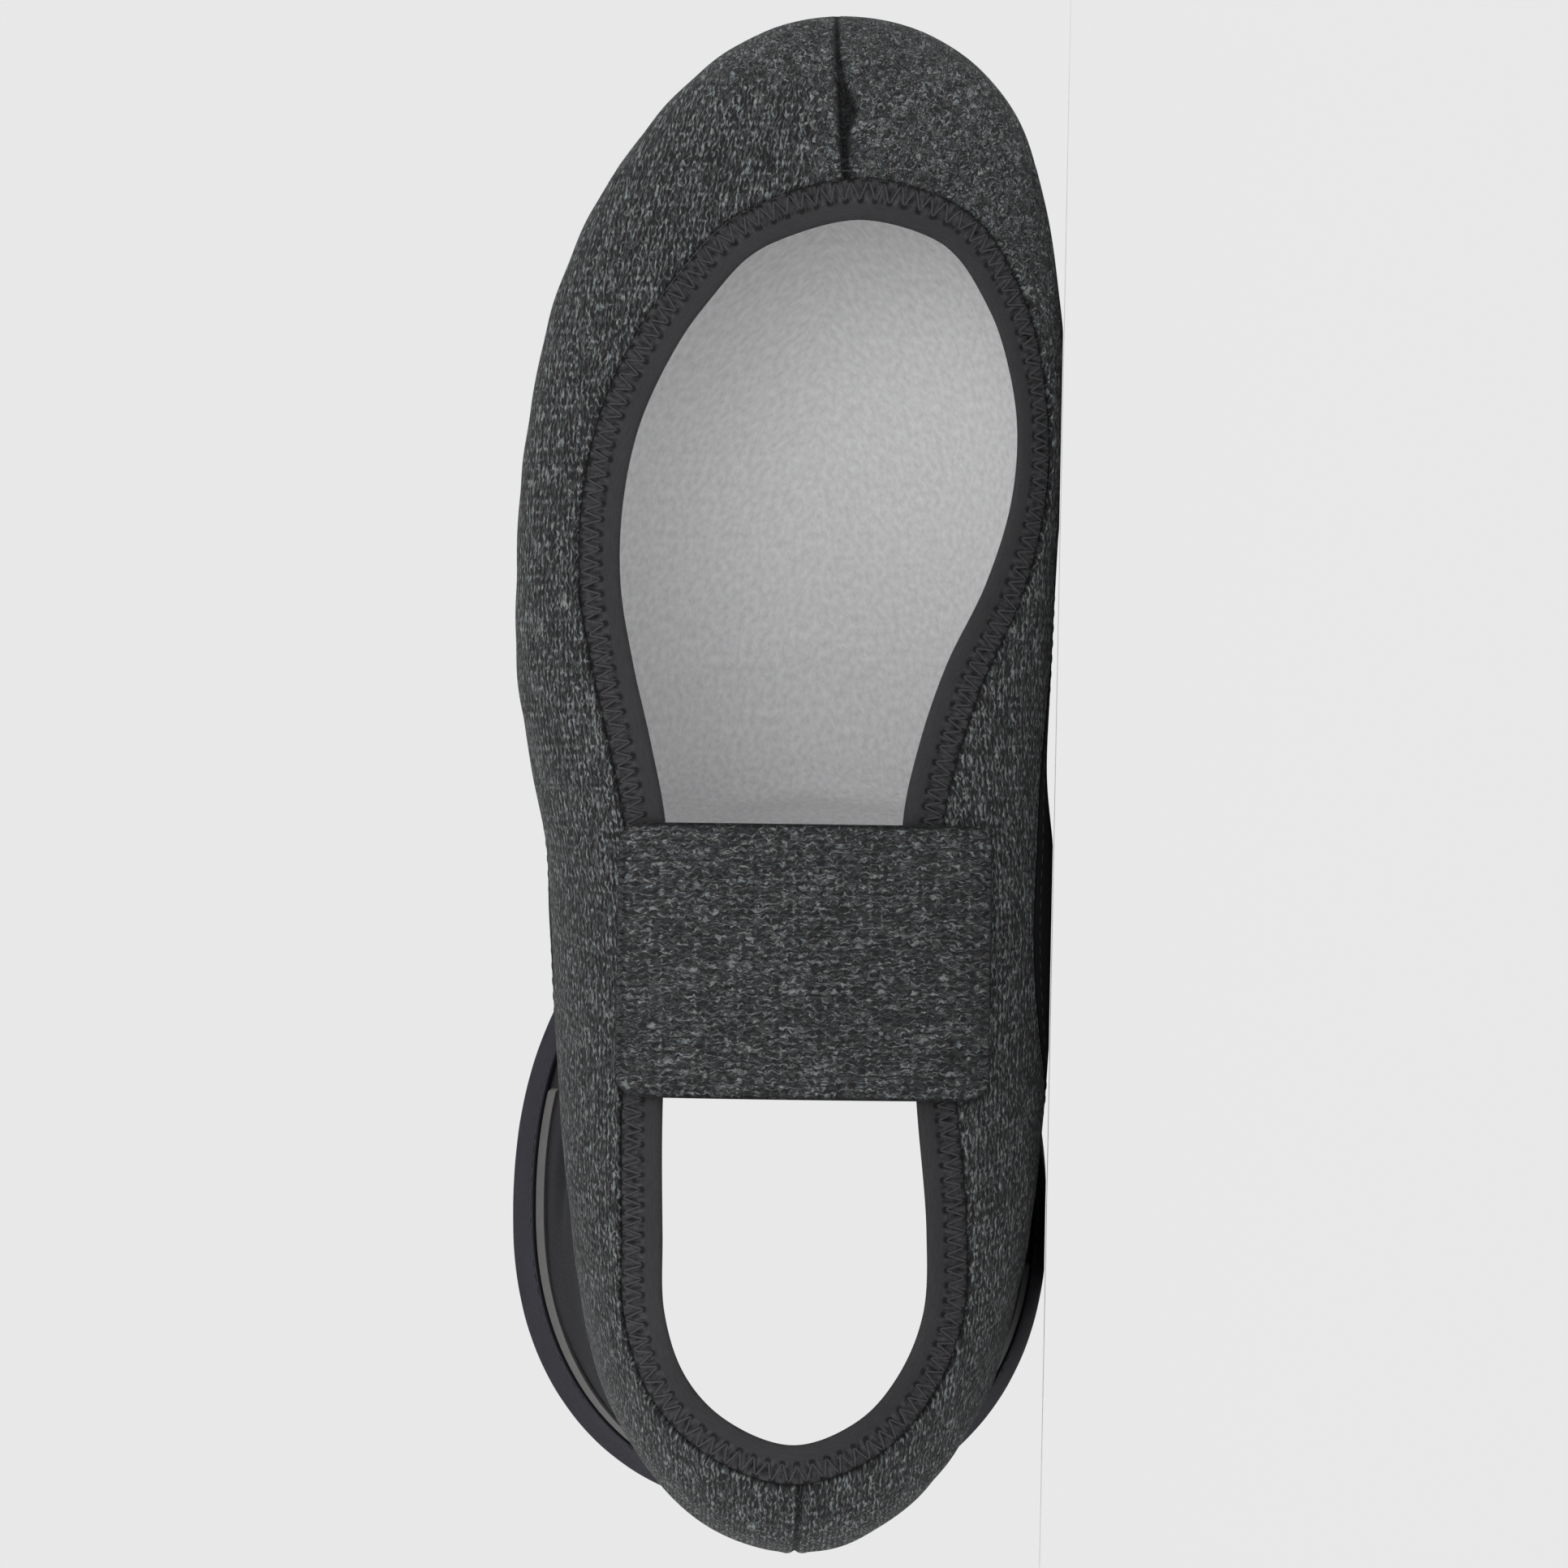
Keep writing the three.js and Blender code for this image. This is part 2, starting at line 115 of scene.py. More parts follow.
FOOT_ROWS = [FootRow(*row) for row in (
    (1.0, 0.27, 0.27, 0.091, 0.091, 0.091, 0.5, 2.0, 2.0),
    (0.996, 0.2, 0.345, 0.0, 0.183, 0.091, 0.48, 2.1, 2.1),
    (0.985, 0.162, 0.41, -0.08, 0.263, 0.091, 0.46, 2.2, 2.2),
    (0.965, 0.128, 0.462, -0.165, 0.342, 0.088, 0.43, 2.4, 2.3),
    (0.935, 0.1, 0.504, -0.246, 0.404, 0.082, 0.4, 2.6, 2.3),
    (0.895, 0.076, 0.54, -0.328, 0.446, 0.072, 0.37, 2.8, 2.3),
    (0.845, 0.052, 0.577, -0.4, 0.473, 0.062, 0.34, 2.9, 2.25),
    (0.785, 0.031, 0.622, -0.452, 0.489, 0.055, 0.31, 3.0, 2.2),
    (0.715, 0.015, 0.68, -0.486, 0.489, 0.05, 0.29, 3.0, 2.1),
    (0.645, 0.012, 0.744, -0.5, 0.478, 0.045, 0.3, 2.8, 2.05),
    (0.575, 0.022, 0.82, -0.499, 0.469, 0.04, 0.32, 2.7, 2.0),
    (0.51, 0.038, 0.905, -0.474, 0.464, 0.032, 0.34, 2.6, 2.0),
)]

HEEL_ROWS = [AnkleRow(*row) for row in (
    (0.448, 0.041, 0.486, -0.05, -0.53, 0.562, 0.36, 2.6, 2.05),
    (0.379, 0.05, 0.47, 0.025, -0.524, 0.572, 0.4, 2.6, 2.1),
    (0.31, 0.041, 0.4585, 0.083, -0.515, 0.562, 0.38, 2.6, 2.15),
    (0.241, 0.021, 0.4505, 0.137, -0.502, 0.545, 0.32, 2.6, 2.2),
    (0.172, 0.006, 0.444, 0.183, -0.486, 0.524, 0.29, 2.5, 2.2),
    (0.11, 0.0, 0.4395, 0.227, -0.47, 0.504, 0.31, 2.35, 2.2),
    (0.0586, 0.009, 0.436, 0.267, -0.46, 0.486, 0.35, 2.15, 2.2),
    (0.0224, 0.05, 0.4335, 0.305, -0.456, 0.476, 0.39, 2.05, 2.2),
    (0.005, 0.119, 0.4315, 0.342, -0.453, 0.466, 0.42, 2.0, 2.2),
    (0.0, 0.2, 0.43, 0.378, -0.452, 0.46, 0.44, 2.0, 2.2),
    (0.0028, 0.2875, 0.429, 0.417, -0.454, 0.458, 0.46, 2.05, 2.2),
    (0.01, 0.3875, 0.4285, 0.458, -0.459, 0.459, 0.47, 2.1, 2.2),
)]

# The underside runs through the rows of the foot and the first ones of the heel.
UNDERSIDE_ROWS = len(FOOT_ROWS) + 9

# The shaft, flaring up to the cuff.
SHAFT_ROWS = [AnkleRow(*row) for row in (
    (0.0175, 0.494, 0.4285, 0.508, -0.387, 0.381, 0.48, 2.1, 2.2),
    (0.023, 0.594, 0.4295, 0.575, -0.404, 0.398, 0.48, 2.15, 2.2),
    (0.025, 0.675, 0.431, 0.658, -0.426, 0.417, 0.47, 2.2, 2.2),
    (0.0225, 0.756, 0.4335, 0.758, -0.45, 0.436, 0.46, 2.2, 2.2),
    (0.0155, 0.84, 0.438, 0.872, -0.476, 0.455, 0.46, 2.2, 2.2),
    (0.005, 0.925, 0.4455, 1.0, -0.503, 0.472, 0.45, 2.2, 2.2),
)]

# The long cut-out of the underside. Its two ends: along the foot length, across the ball width. Its
# rows: place along, the inner edge of the binding on the outer and the inner side, and how much of a
# width shows in plan on the inner side, where the edge climbs the last.
CUTOUT_TOE = (0.865, 0.12)
CUTOUT_HEEL = (0.075, 0.0)
CUTOUT_ROWS = (
    (0.853, -0.017, 0.252, 1.0),
    (0.84, -0.083, 0.299, 0.98),
    (0.813, -0.151, 0.347, 0.92),
    (0.787, -0.204, 0.378, 0.86),
    (0.735, -0.275, 0.407, 0.78),
    (0.682, -0.308, 0.397, 0.84),
    (0.629, -0.313, 0.35, 0.95),
    (0.577, -0.29, 0.278, 1.0),
    (0.525, -0.258, 0.228, 1.0),
    (0.472, -0.232, 0.198, 1.0),
    (0.38, -0.229, 0.21, 1.0),
    (0.29, -0.239, 0.225, 1.0),
    (0.212, -0.239, 0.242, 1.0),
    (0.159, -0.236, 0.236, 1.0),
    (0.119, -0.199, 0.19, 1.0),
    (0.091, -0.124, 0.119, 1.0),
)

# Top edge of the knitted body in the side view: place along the foot length, then height on the
# outer and the inner side, of the instep height.
SEAM_ROWS = (
    (-0.15, 0.58, 0.58),
    (0.07, 0.57, 0.57),
    (0.155, 0.5, 0.48),
    (0.24, 0.43, 0.36),
    (0.33, 0.385, 0.27),
    (0.42, 0.37, 0.235),
    (0.52, 0.37, 0.225),
    (0.62, 0.375, 0.235),
    (0.72, 0.385, 0.29),
    (0.81, 0.41, 0.36),
    (0.865, 0.465, 0.445),
    (0.9, 0.56, 0.55),
    (0.94, 0.7, 0.7),
    (1.1, 0.9, 0.9),
)

# The zigzag seam of the binding: its pitch, and how far its two lines of holes lie from the edge.
ZIGZAG_PITCH = 2.8
ZIGZAG_LINES = (3.5, 7.2)


def smoothstep(value: Array, low: float, high: float) -> Array:
    """Eases from 0 at low to 1 at high."""
    share = np.clip((value - low) / (high - low), 0, 1)
    return share * share * (3 - 2 * share)


def hump(distance: Array, width: float) -> Array:
    """A soft hump, 1 at no distance and almost 0 at twice its width."""
    return np.exp(-((distance / width) ** 2))


def rolled(distance: Array, radius: float) -> Array:
    """How far a rounded edge has fallen away at a distance from its end."""
    left = radius - np.clip(distance, 0, radius)
    return radius - np.sqrt(np.maximum(radius**2 - left**2, 0))


def nearest(points: Array, line: Array) -> Array:
    """Distance from points to a line through many places.

    Args:
        points: the points, with their coordinates last.
        line: the line's places, one after the other.

    Returns:
        The distances, in the shape of the points.
    """
    flat = points.reshape(-1, 3)
    start, step = line[:-1], np.diff(line, axis=0)
    length2 = np.maximum((step**2).sum(1), 1e-12)
    found = np.empty(len(flat))
    batch = 1500
    for first in range(0, len(flat), batch):
        gap = flat[first : first + batch, None, :] - start[None]
        share = np.clip((gap * step).sum(2) / length2, 0, 1)
        found[first : first + batch] = np.sqrt(((gap - share[..., None] * step) ** 2).sum(2).min(1))
    return found.reshape(points.shape[:-1])


def lengths_along(line: Array) -> Array:
    """The length of a line up to each of its places."""
    return np.concatenate([[0.0], np.cumsum(np.linalg.norm(np.diff(line, axis=0), axis=1))])


@dataclass
class LastForm:
    """The form of the last, from its six driving sizes."""

    foot_length: float = 290.0
    ball_width: float = 104.0
    heel_width: float = 88.0
    instep_height: float = 100.0
    cuff_width: float = 108.0
    cuff_height: float = 160.0
    normal_step: float = 0.02
    padded: Array = field(init=False, repr=False)
    last_row: int = field(init=False)

    def __post_init__(self) -> None:
        """Works out the sections, with one more beyond each end for the interpolation."""
        rows = [self.foot_section(row) for row in FOOT_ROWS]
        rows += [self.ankle_section(row, self.heel_width) for row in HEEL_ROWS]
        rows += [self.ankle_section(row, self.cuff_width) for row in SHAFT_ROWS]
        sections = np.array(rows)
        mirrored = 2 * sections[0] - sections[1]
        mirrored[[0, 2]] = sections[1][[0, 2]]
        straight = 2 * sections[-1] - sections[-2]
        self.padded = np.vstack([mirrored, sections, straight])
        self.last_row = len(sections) - 1

    def foot_section(self, row: FootRow) -> list[float]:
        """One section across the foot, in millimetres.

        Args:
            row: a row of the foot's table.

        Returns:
            The back and front points of the section, its sides, its ridge and its squareness.
        """
        x = row.at * self.foot_length
        low, high = row.under * self.instep_height, row.over * self.instep_height
        across = [share * self.ball_width for share in (row.lateral, row.medial, row.ridge)]
        return [x, low, x, high, *across, row.widest, row.flat, row.dome]

    def ankle_section(self, row: AnkleRow, width: float) -> list[float]:
        """One section of the heel or the shaft, turned round the bend of the ankle.

        Args:
            row: a row of the heel's or the shaft's table.
            width: the width that its places across follow.

        Returns:
            The same numbers as for a section of the foot.
        """
        top = self.instep_height + row.climb * (self.cuff_height - self.instep_height)
        lower = [row.back * self.foot_length, row.rise * self.cuff_height]
        upper = [row.front * self.foot_length, top]
        return [*lower, *upper, row.lateral * width, row.medial * width, 0, row.widest, row.flat, row.dome]

    def section(self, k: Array) -> Array:
        """The section at any place between the rows, by Catmull-Rom.

        Args:
            k: the place or places.

        Returns:
            The ten numbers of each section, last.
        """
        index = np.clip(np.floor(k), 0, self.last_row - 1).astype(int)
        t = (k - index)[..., None]
        before, start, end, after = (self.padded[index + i] for i in range(4))
        place = (2 * t**3 - 3 * t**2 + 1) * start + (3 * t**2 - 2 * t**3) * end
        return place + (t**3 - 2 * t**2 + t) * (end - before) / 2 + (t**3 - t**2) * (after - start) / 2

    def point(self, k: Array, turn: Array) -> Array:
        """Points of the last.

        Args:
            k: their places from the toe tip to the cuff.
            turn: their turns round the section.

        Returns:
            x, y and z of each, last.
        """
        k, turn = np.broadcast_arrays(np.asarray(k, float), np.asarray(turn, float))
        parts = np.moveaxis(self.section(k), -1, 0)
        back_x, back_z, front_x, front_z, lateral, medial, ridge, widest, flat, dome = parts
        cos, sin = np.cos(2 * np.pi * turn), np.sin(2 * np.pi * turn)
        power = 2 / np.where(cos > 0, flat, dome)
        rise = np.abs(cos) ** power
        level = np.where(cos > 0, widest * (1 - rise), widest + (1 - widest) * rise)
        centre = (lateral + medial) / 2
        middle = centre + level * (ridge - centre)
        side = np.where(sin > 0, medial, lateral)
        across = middle + (side - middle) * np.abs(sin) ** power
        return np.stack(
            [back_x + level * (front_x - back_x), across, back_z + level * (front_z - back_z)], -1
        )

    def normal(self, k: Array, turn: Array) -> Array:
        """Directions out of the last.

        Args:
            k: the places from the toe tip to the cuff.
            turn: the turns round the section.

        Returns:
            A unit vector for each, last.
        """
        k, turn = np.broadcast_arrays(np.asarray(k, float), np.asarray(turn, float))
        step = self.normal_step
        ahead = self.point(np.minimum(k + step, self.last_row), turn)
        along = ahead - self.point(np.maximum(k - step, 0), turn)
        around = self.point(k, turn + step) - self.point(k, turn - step)
        out = np.cross(along, around)
        out /= np.maximum(np.linalg.norm(out, axis=-1, keepdims=True), 1e-9)
        return np.where((k < step)[..., None], np.array([1.0, 0.0, 0.0]), out)

    def layer(self, k: Array, turn: Array, outset: Array) -> Array:
        """Points at distances outside the last."""
        return self.point(k, turn) + self.normal(k, turn) * np.asarray(outset, float)[..., None]

    def girth(self, k: float, side: int) -> tuple[Array, Array, Array]:
        """One half of a section, followed from the underside or the back to the top or the front.

        Args:
            k: the section's place.
            side: 1 for the inner side, -1 for the outer side.

        Returns:
            Turns, lengths up to them and the points there.
        """
        steps = 240
        quarter = 0.125 * (1 - np.cos(np.pi * np.arange(steps + 1) / steps))
        turns = np.concatenate([quarter, 0.25 + quarter[1:]])
        points = self.point(np.full_like(turns, k), side * turns)
        return turns, lengths_along(points), points

    def under(self, plan: Array) -> tuple[Array, Array]:
        """Places on the underside that lie below places of the plan.

        Args:
            plan: x and y of the places, last.

        Returns:
            k and turn of each.
        """
        step = 0.01
        stops = np.linspace(0, UNDERSIDE_ROWS, 2000)
        back = self.section(stops)[:, 0]
        x, y = plan[..., 0], plan[..., 1]
        k = np.interp(-x, -back, stops)
        share = np.zeros_like(k)
        for _ in range(30):
            parts = np.moveaxis(self.section(k), -1, 0)
            back_x, _, front_x, _, lateral, medial, ridge, widest, flat, _ = parts
            rise = (1 - np.abs(share) ** flat) ** (1 / flat)
            level = widest * (1 - rise)
            centre = (lateral + medial) / 2
            middle = centre + level * (ridge - centre)
            side = np.where(y > middle, medial, lateral)
            share = np.clip((y - middle) / np.abs(side - middle), -0.9999, 0.9999)
            slope = (self.section(k + step)[..., 0] - back_x) / step
            k = np.clip(k - (back_x + level * (front_x - back_x) - x) / slope, 0, stops[-1])
        turn = np.arcsin(np.abs(share) ** (flat / 2)) / (2 * np.pi)
        return k, np.copysign(turn, share)

    def row_below_cuff(self, distance: float) -> float:
        """The place k at a distance below the cuff's top edge, up the back of the shaft."""
        stops = np.linspace(self.last_row, self.last_row - 8, 801)
        return float(np.interp(distance, lengths_along(self.point(stops, 0.0)), stops))


@dataclass
class Fabric:
    """Walls and clearances that the pieces share."""

    knit_wall: float = 2.2
    softshell_wall: float = 1.8
    seam_gap: float = 0.35
    binding_width: float = 7.4
    binding_wall: float = 1.6
    binding_recess: float = 0.3
    bridge_wall: float = 2.0
    cuff_height: float = 21.0
    cuff_wall: float = 3.0
    cuff_step: float = 0.8
    floor_flat: float = 0.5


@dataclass
class CutOut:
    """The long cut-out of the underside."""

    last: LastForm
    samples: int = 30

    def outline(self, outset: float) -> Array:
        """The closed outline in plan, moved outwards: toe, inner side, heel, outer side.

        Args:
            outset: how far outwards.

        Returns:
            Its points, the first one again at the end.
        """
        at, lateral, medial, seen = np.array(CUTOUT_ROWS).T
        ones = np.ones_like(at)
        inner = np.stack([at, medial, seen], 1)
        outer = np.stack([at, lateral, ones], 1)[::-1]
        stops = np.vstack([[*CUTOUT_TOE, 1], inner, [*CUTOUT_HEEL, 1], outer])
        stops[:, :2] *= (self.last.foot_length, self.last.ball_width)
        p0, p1, p2, p3 = (np.roll(stops, shift, axis=0)[:, None] for shift in (1, 0, -1, -2))
        gaps = ((p0, p1), (p1, p2), (p2, p3))
        d0, d1, d2 = (np.sqrt(np.linalg.norm(b - a, axis=2))[..., None] for a, b in gaps)
        slope1 = ((p1 - p0) / d0 - (p2 - p0) / (d0 + d1) + (p2 - p1) / d1) * d1
        slope2 = ((p2 - p1) / d1 - (p3 - p1) / (d1 + d2) + (p3 - p2) / d2) * d1
        w = (np.arange(self.samples) / self.samples)[None, :, None]
        square, cube = -3 * p1 + 3 * p2 - 2 * slope1 - slope2, 2 * p1 - 2 * p2 + slope1 + slope2
        places = (p1 + slope1 * w + square * w**2 + cube * w**3).reshape(-1, 3)
        heading = (slope1 + 2 * square * w + 3 * cube * w**2).reshape(-1, 3)[:, :2]
        heading /= np.linalg.norm(heading, axis=1, keepdims=True)
        move = outset * places[:, 2:]
        moved = places[:, :2] + np.stack([heading[:, 1], -heading[:, 0]], 1) * move
        return np.vstack([moved, moved[:1]])

    def edges(self, outset: float) -> tuple[Array, Array, int]:
        """The outline as places k and turn, with the index of its heel end.

        Args:
            outset: how far outwards.

        Returns:
            Places k, turns and the index of the point nearest to the heel.
        """
        k, turn = self.last.under(self.outline(outset))
        shift = int(np.argmin(k[:-1]))
        k, turn = (np.append(np.roll(v[:-1], -shift), v[shift]) for v in (k, turn))
        return k, turn, int(np.argmax(k))


@dataclass
class SeamLine:
    """The line where the knitted body meets the softshell."""

    last: LastForm

    def height(self, x: Array, y: Array) -> Array:
        """Height of the seam over places of the plan.

        Args:
            x: the places along the foot.
            y: the places across.

        Returns:
            The heights.
        """
        at, *rises = np.array(SEAM_ROWS).T
        place = np.clip(x / self.last.foot_length, at[0], at[-1])
        row = np.clip(np.searchsorted(at, place, side="right") - 1, 0, len(at) - 2)
        step = at[row + 1] - at[row]
        t = (place - at[row]) / step
        sides = []
        for rise in rises:
            slope = np.gradient(rise, at)
            near = (1 + 2 * t) * (1 - t) ** 2 * rise[row] + t * (1 - t) ** 2 * step * slope[row]
            far = t * t * (3 - 2 * t) * rise[row + 1] - t * t * (1 - t) * step * slope[row + 1]
            sides.append(near + far)
        across = smoothstep(y / self.last.ball_width, -0.5, 0.5)
        return (sides[0] + across * (sides[1] - sides[0])) * self.last.instep_height

    def turn(self, k: float, side: int, clearance: float = 0.0) -> float:
        """Where the seam crosses one half of a section.

        Args:
            k: the section's place.
            side: 1 for the inner side, -1 for the outer side.
            clearance: how far above the seam.

        Returns:
            The turn without its sign: 0.5 where the whole section is below, 0 where it is above.
        """
        turns, _, points = self.last.girth(k, side)
        over = points[:, 2] - self.height(points[:, 0], points[:, 1]) - clearance
        above = np.nonzero(over > 0)[0]
        if len(above) == 0:
            return 0.5
        first = above[0]
        if first == 0:
            return 0.0
        low, high = over[first - 1], over[first]
        return float(turns[first - 1] + (turns[first] - turns[first - 1]) * low / (low - high))

    def crossing(self, turn: float, low: float, high: float, clearance: float = 0.0) -> float:
        """The place k where the line at one turn passes the seam.

        Args:
            turn: the turn of the line.
            low: a place below the seam.
            high: a place above it.
            clearance: how far above the seam.

        Returns:
            The place.
        """
        for _ in range(50):
            middle = (low + high) / 2
            x, y, z = self.last.point(np.array(middle), np.array(turn))
            below = z - self.height(x, y) < clearance
            low, high = (middle, high) if below else (low, middle)
        return (low + high) / 2


@dataclass
class Laying:
    """The turn and drop that lay the overshoe on its inner side, toe towards +X."""

    last: LastForm
    fabric: Fabric
    matrix: Array = field(init=False, repr=False)
    origin: Array = field(init=False, repr=False)

    def __post_init__(self) -> None:
        """Finds the plane that touches ball, waist and cuff, and lines the form up with the frame."""
        normal, distance = self.floor_plane()
        up = -normal
        ahead = np.array([1.0, 0.0, 0.0]) - normal * normal[0]
        ahead /= np.linalg.norm(ahead)
        self.matrix = np.stack([ahead, np.cross(up, ahead), up])
        self.origin = np.array([0.0, 0.0, distance - self.fabric.floor_flat])
        ring = np.arange(40) / 40
        top, step = np.full_like(ring, self.last.last_row), np.full_like(ring, self.fabric.cuff_step)
        rim = self.last.layer(top, ring, step)
        toe = self.last.point(np.array(0.0), np.array(0.0))
        self.origin[0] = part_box("knit_body")[1].x / MILLIMETRE - (self.matrix @ toe)[0]
        self.origin[1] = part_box("cuff_band")[1].y / MILLIMETRE - (rim @ self.matrix.T)[:, 1].max()

    def floor_plane(self) -> tuple[Array, float]:
        """The floor in the overshoe's frame.

        Returns:
            Its normal, out of the overshoe, and its distance.
        """
        heel = len(FOOT_ROWS)
        cuff = self.last.row_below_cuff(self.fabric.cuff_height)
        ball, waist = (3, heel - 1, 0.0), (heel + 2, heel + 8, 0.0)
        zones = (ball, waist, (cuff, self.last.last_row, self.fabric.cuff_step))
        turns = np.arange(0.02, 0.5, 0.01)
        touching = []
        for start, end, outset in zones:
            k, turn = np.meshgrid(np.minimum(np.arange(start, end + 1e-9, 0.25), self.last.last_row), turns)
            touching.append(self.last.layer(k, turn, np.full_like(k, outset)).reshape(-1, 3))
        normal = np.array([0.0, 1.0, 0.0])
        for _ in range(8):
            ball, back, top = (zone[np.argmax(zone @ normal)] for zone in touching)
            normal = np.cross(back - ball, top - ball)
            normal *= np.sign(normal[1]) / np.linalg.norm(normal)
        return normal, float((touching[0] @ normal).max())

    def down(self, points: Array) -> Array:
        """Points of the overshoe's frame as laid down, in metres, pressed flat on the floor."""
        laid = points @ self.matrix.T + self.origin
        return np.maximum(laid, (-np.inf, -np.inf, 0.0)) * MILLIMETRE

    def direction(self, vector: Sequence[float]) -> Vector:
        """A direction of the overshoe's frame as laid down."""
        return Vector(self.matrix @ np.asarray(vector, float))


class Cloth:
    """Grids of points, welded into one mesh that knows the lie of its cloth.

    Each corner of a face keeps two vectors. "cloth" holds the lengths along and across the fabric
    and a share from 0 to 1 that the fabric's pattern may follow. "marks" holds distances that a
    finish may follow: to the nearest edge, to the second edge and to a seam. The knit and woven
    finishes paint a line of shade along them.
    """

    weld: float = 1e-3

    def __init__(self) -> None:
        """Starts with nothing in it."""
        self.points: list[Array] = []
        self.cloth: list[Array] = []
        self.marks: list[Array] = []
        self.faces: list[Array] = []
        self.slots: list[Array] = []
        self.count = 0

    def add(
        self,
        points: Array,
        cloth: Array | float,
        marks: Array | float = FAR,
        slot: int = 0,
        flip: bool = False,
    ) -> None:
        """Adds one grid.

        Args:
            points: rows and columns of points.
            cloth: the cloth vector of each, or one number for all.
            marks: the marks vector of each, or one number for all.
            slot: index of the material.
            flip: True where the faces have to look the other way.
        """
        rows, columns = points.shape[:2]
        index = np.arange(rows * columns).reshape(rows, columns) + self.count
        corners = (index[:-1, :-1], index[1:, :-1], index[1:, 1:], index[:-1, 1:])
        quads = np.stack(corners, -1).reshape(-1, 4)
        self.faces.append(quads[:, ::-1] if flip else quads)
        self.slots.append(np.full(len(quads), slot))
        for store, values in ((self.points, points), (self.cloth, cloth), (self.marks, marks)):
            store.append(np.broadcast_to(values, points.shape).reshape(-1, 3))
        self.count += rows * columns

    def build(self, name: str, laying: Laying, materials: Sequence[bpy.types.Material]) -> bpy.types.Object:
        """Makes the object.

        Args:
            name: its name.
            laying: how it lies in the frame.
            materials: its materials, in the order of the grids' slots.

        Returns:
            The new object, linked to the scene.
        """
        points, cloth, marks = (np.concatenate(store) for store in (self.points, self.cloth, self.marks))
        faces, slots = np.concatenate(self.faces), np.concatenate(self.slots)
        keys = np.round(points / self.weld).astype(np.int64)
        _, first, same = np.unique(keys, axis=0, return_index=True, return_inverse=True)
        joined = same.reshape(-1)[faces]
        follows = joined != np.roll(joined, 1, axis=1)
        kept, corners, chosen = [], [], []
        for row, (face, fresh, source) in enumerate(zip(joined, follows, faces)):
            if not fresh.all():
                face, source = face[fresh], source[fresh]
            if len(set(face)) == len(face) >= 3:
                kept.append(face.tolist())
                corners.append(source)
                chosen.append(row)
        mesh = bpy.data.meshes.new(name)
        mesh.from_pydata(laying.down(points[first]), [], kept)
        order = np.concatenate(corners)
        for title, values in (("cloth", cloth), ("marks", marks)):
            layer = mesh.attributes.new(title, "FLOAT_VECTOR", "CORNER")
            layer.data.foreach_set("vector", values[order].astype(np.float32).ravel())
        for material in materials:
            mesh.materials.append(material)
        mesh.polygons.foreach_set("material_index", slots[chosen].astype(np.int32))
        mesh.shade_smooth()
        mesh.update()
        made = bpy.data.objects.new(name, mesh)
        bpy.context.collection.objects.link(made)
        return made


def thread(path: Array, radius: float, sides: int = 6) -> Array:
    """A round thread along a path.

    Args:
        path: its places.
        radius: its radius.
        sides: how many sides its section has.

    Returns:
        Rings of points, the first one repeated at the end of each ring.
    """
    heading = np.gradient(path, axis=0)
    heading /= np.linalg.norm(heading, axis=1, keepdims=True)
    # A direction that no thread here runs in.
    away = np.array([0.31, 0.23, 0.92])
    across = np.cross(heading, away)
    across /= np.linalg.norm(across, axis=1, keepdims=True)
    up = np.cross(across, heading)
    angle = (2 * np.pi * np.arange(sides + 1) / sides)[None, :, None]
    return path[:, None] + radius * (np.cos(angle) * across[:, None] + np.sin(angle) * up[:, None])


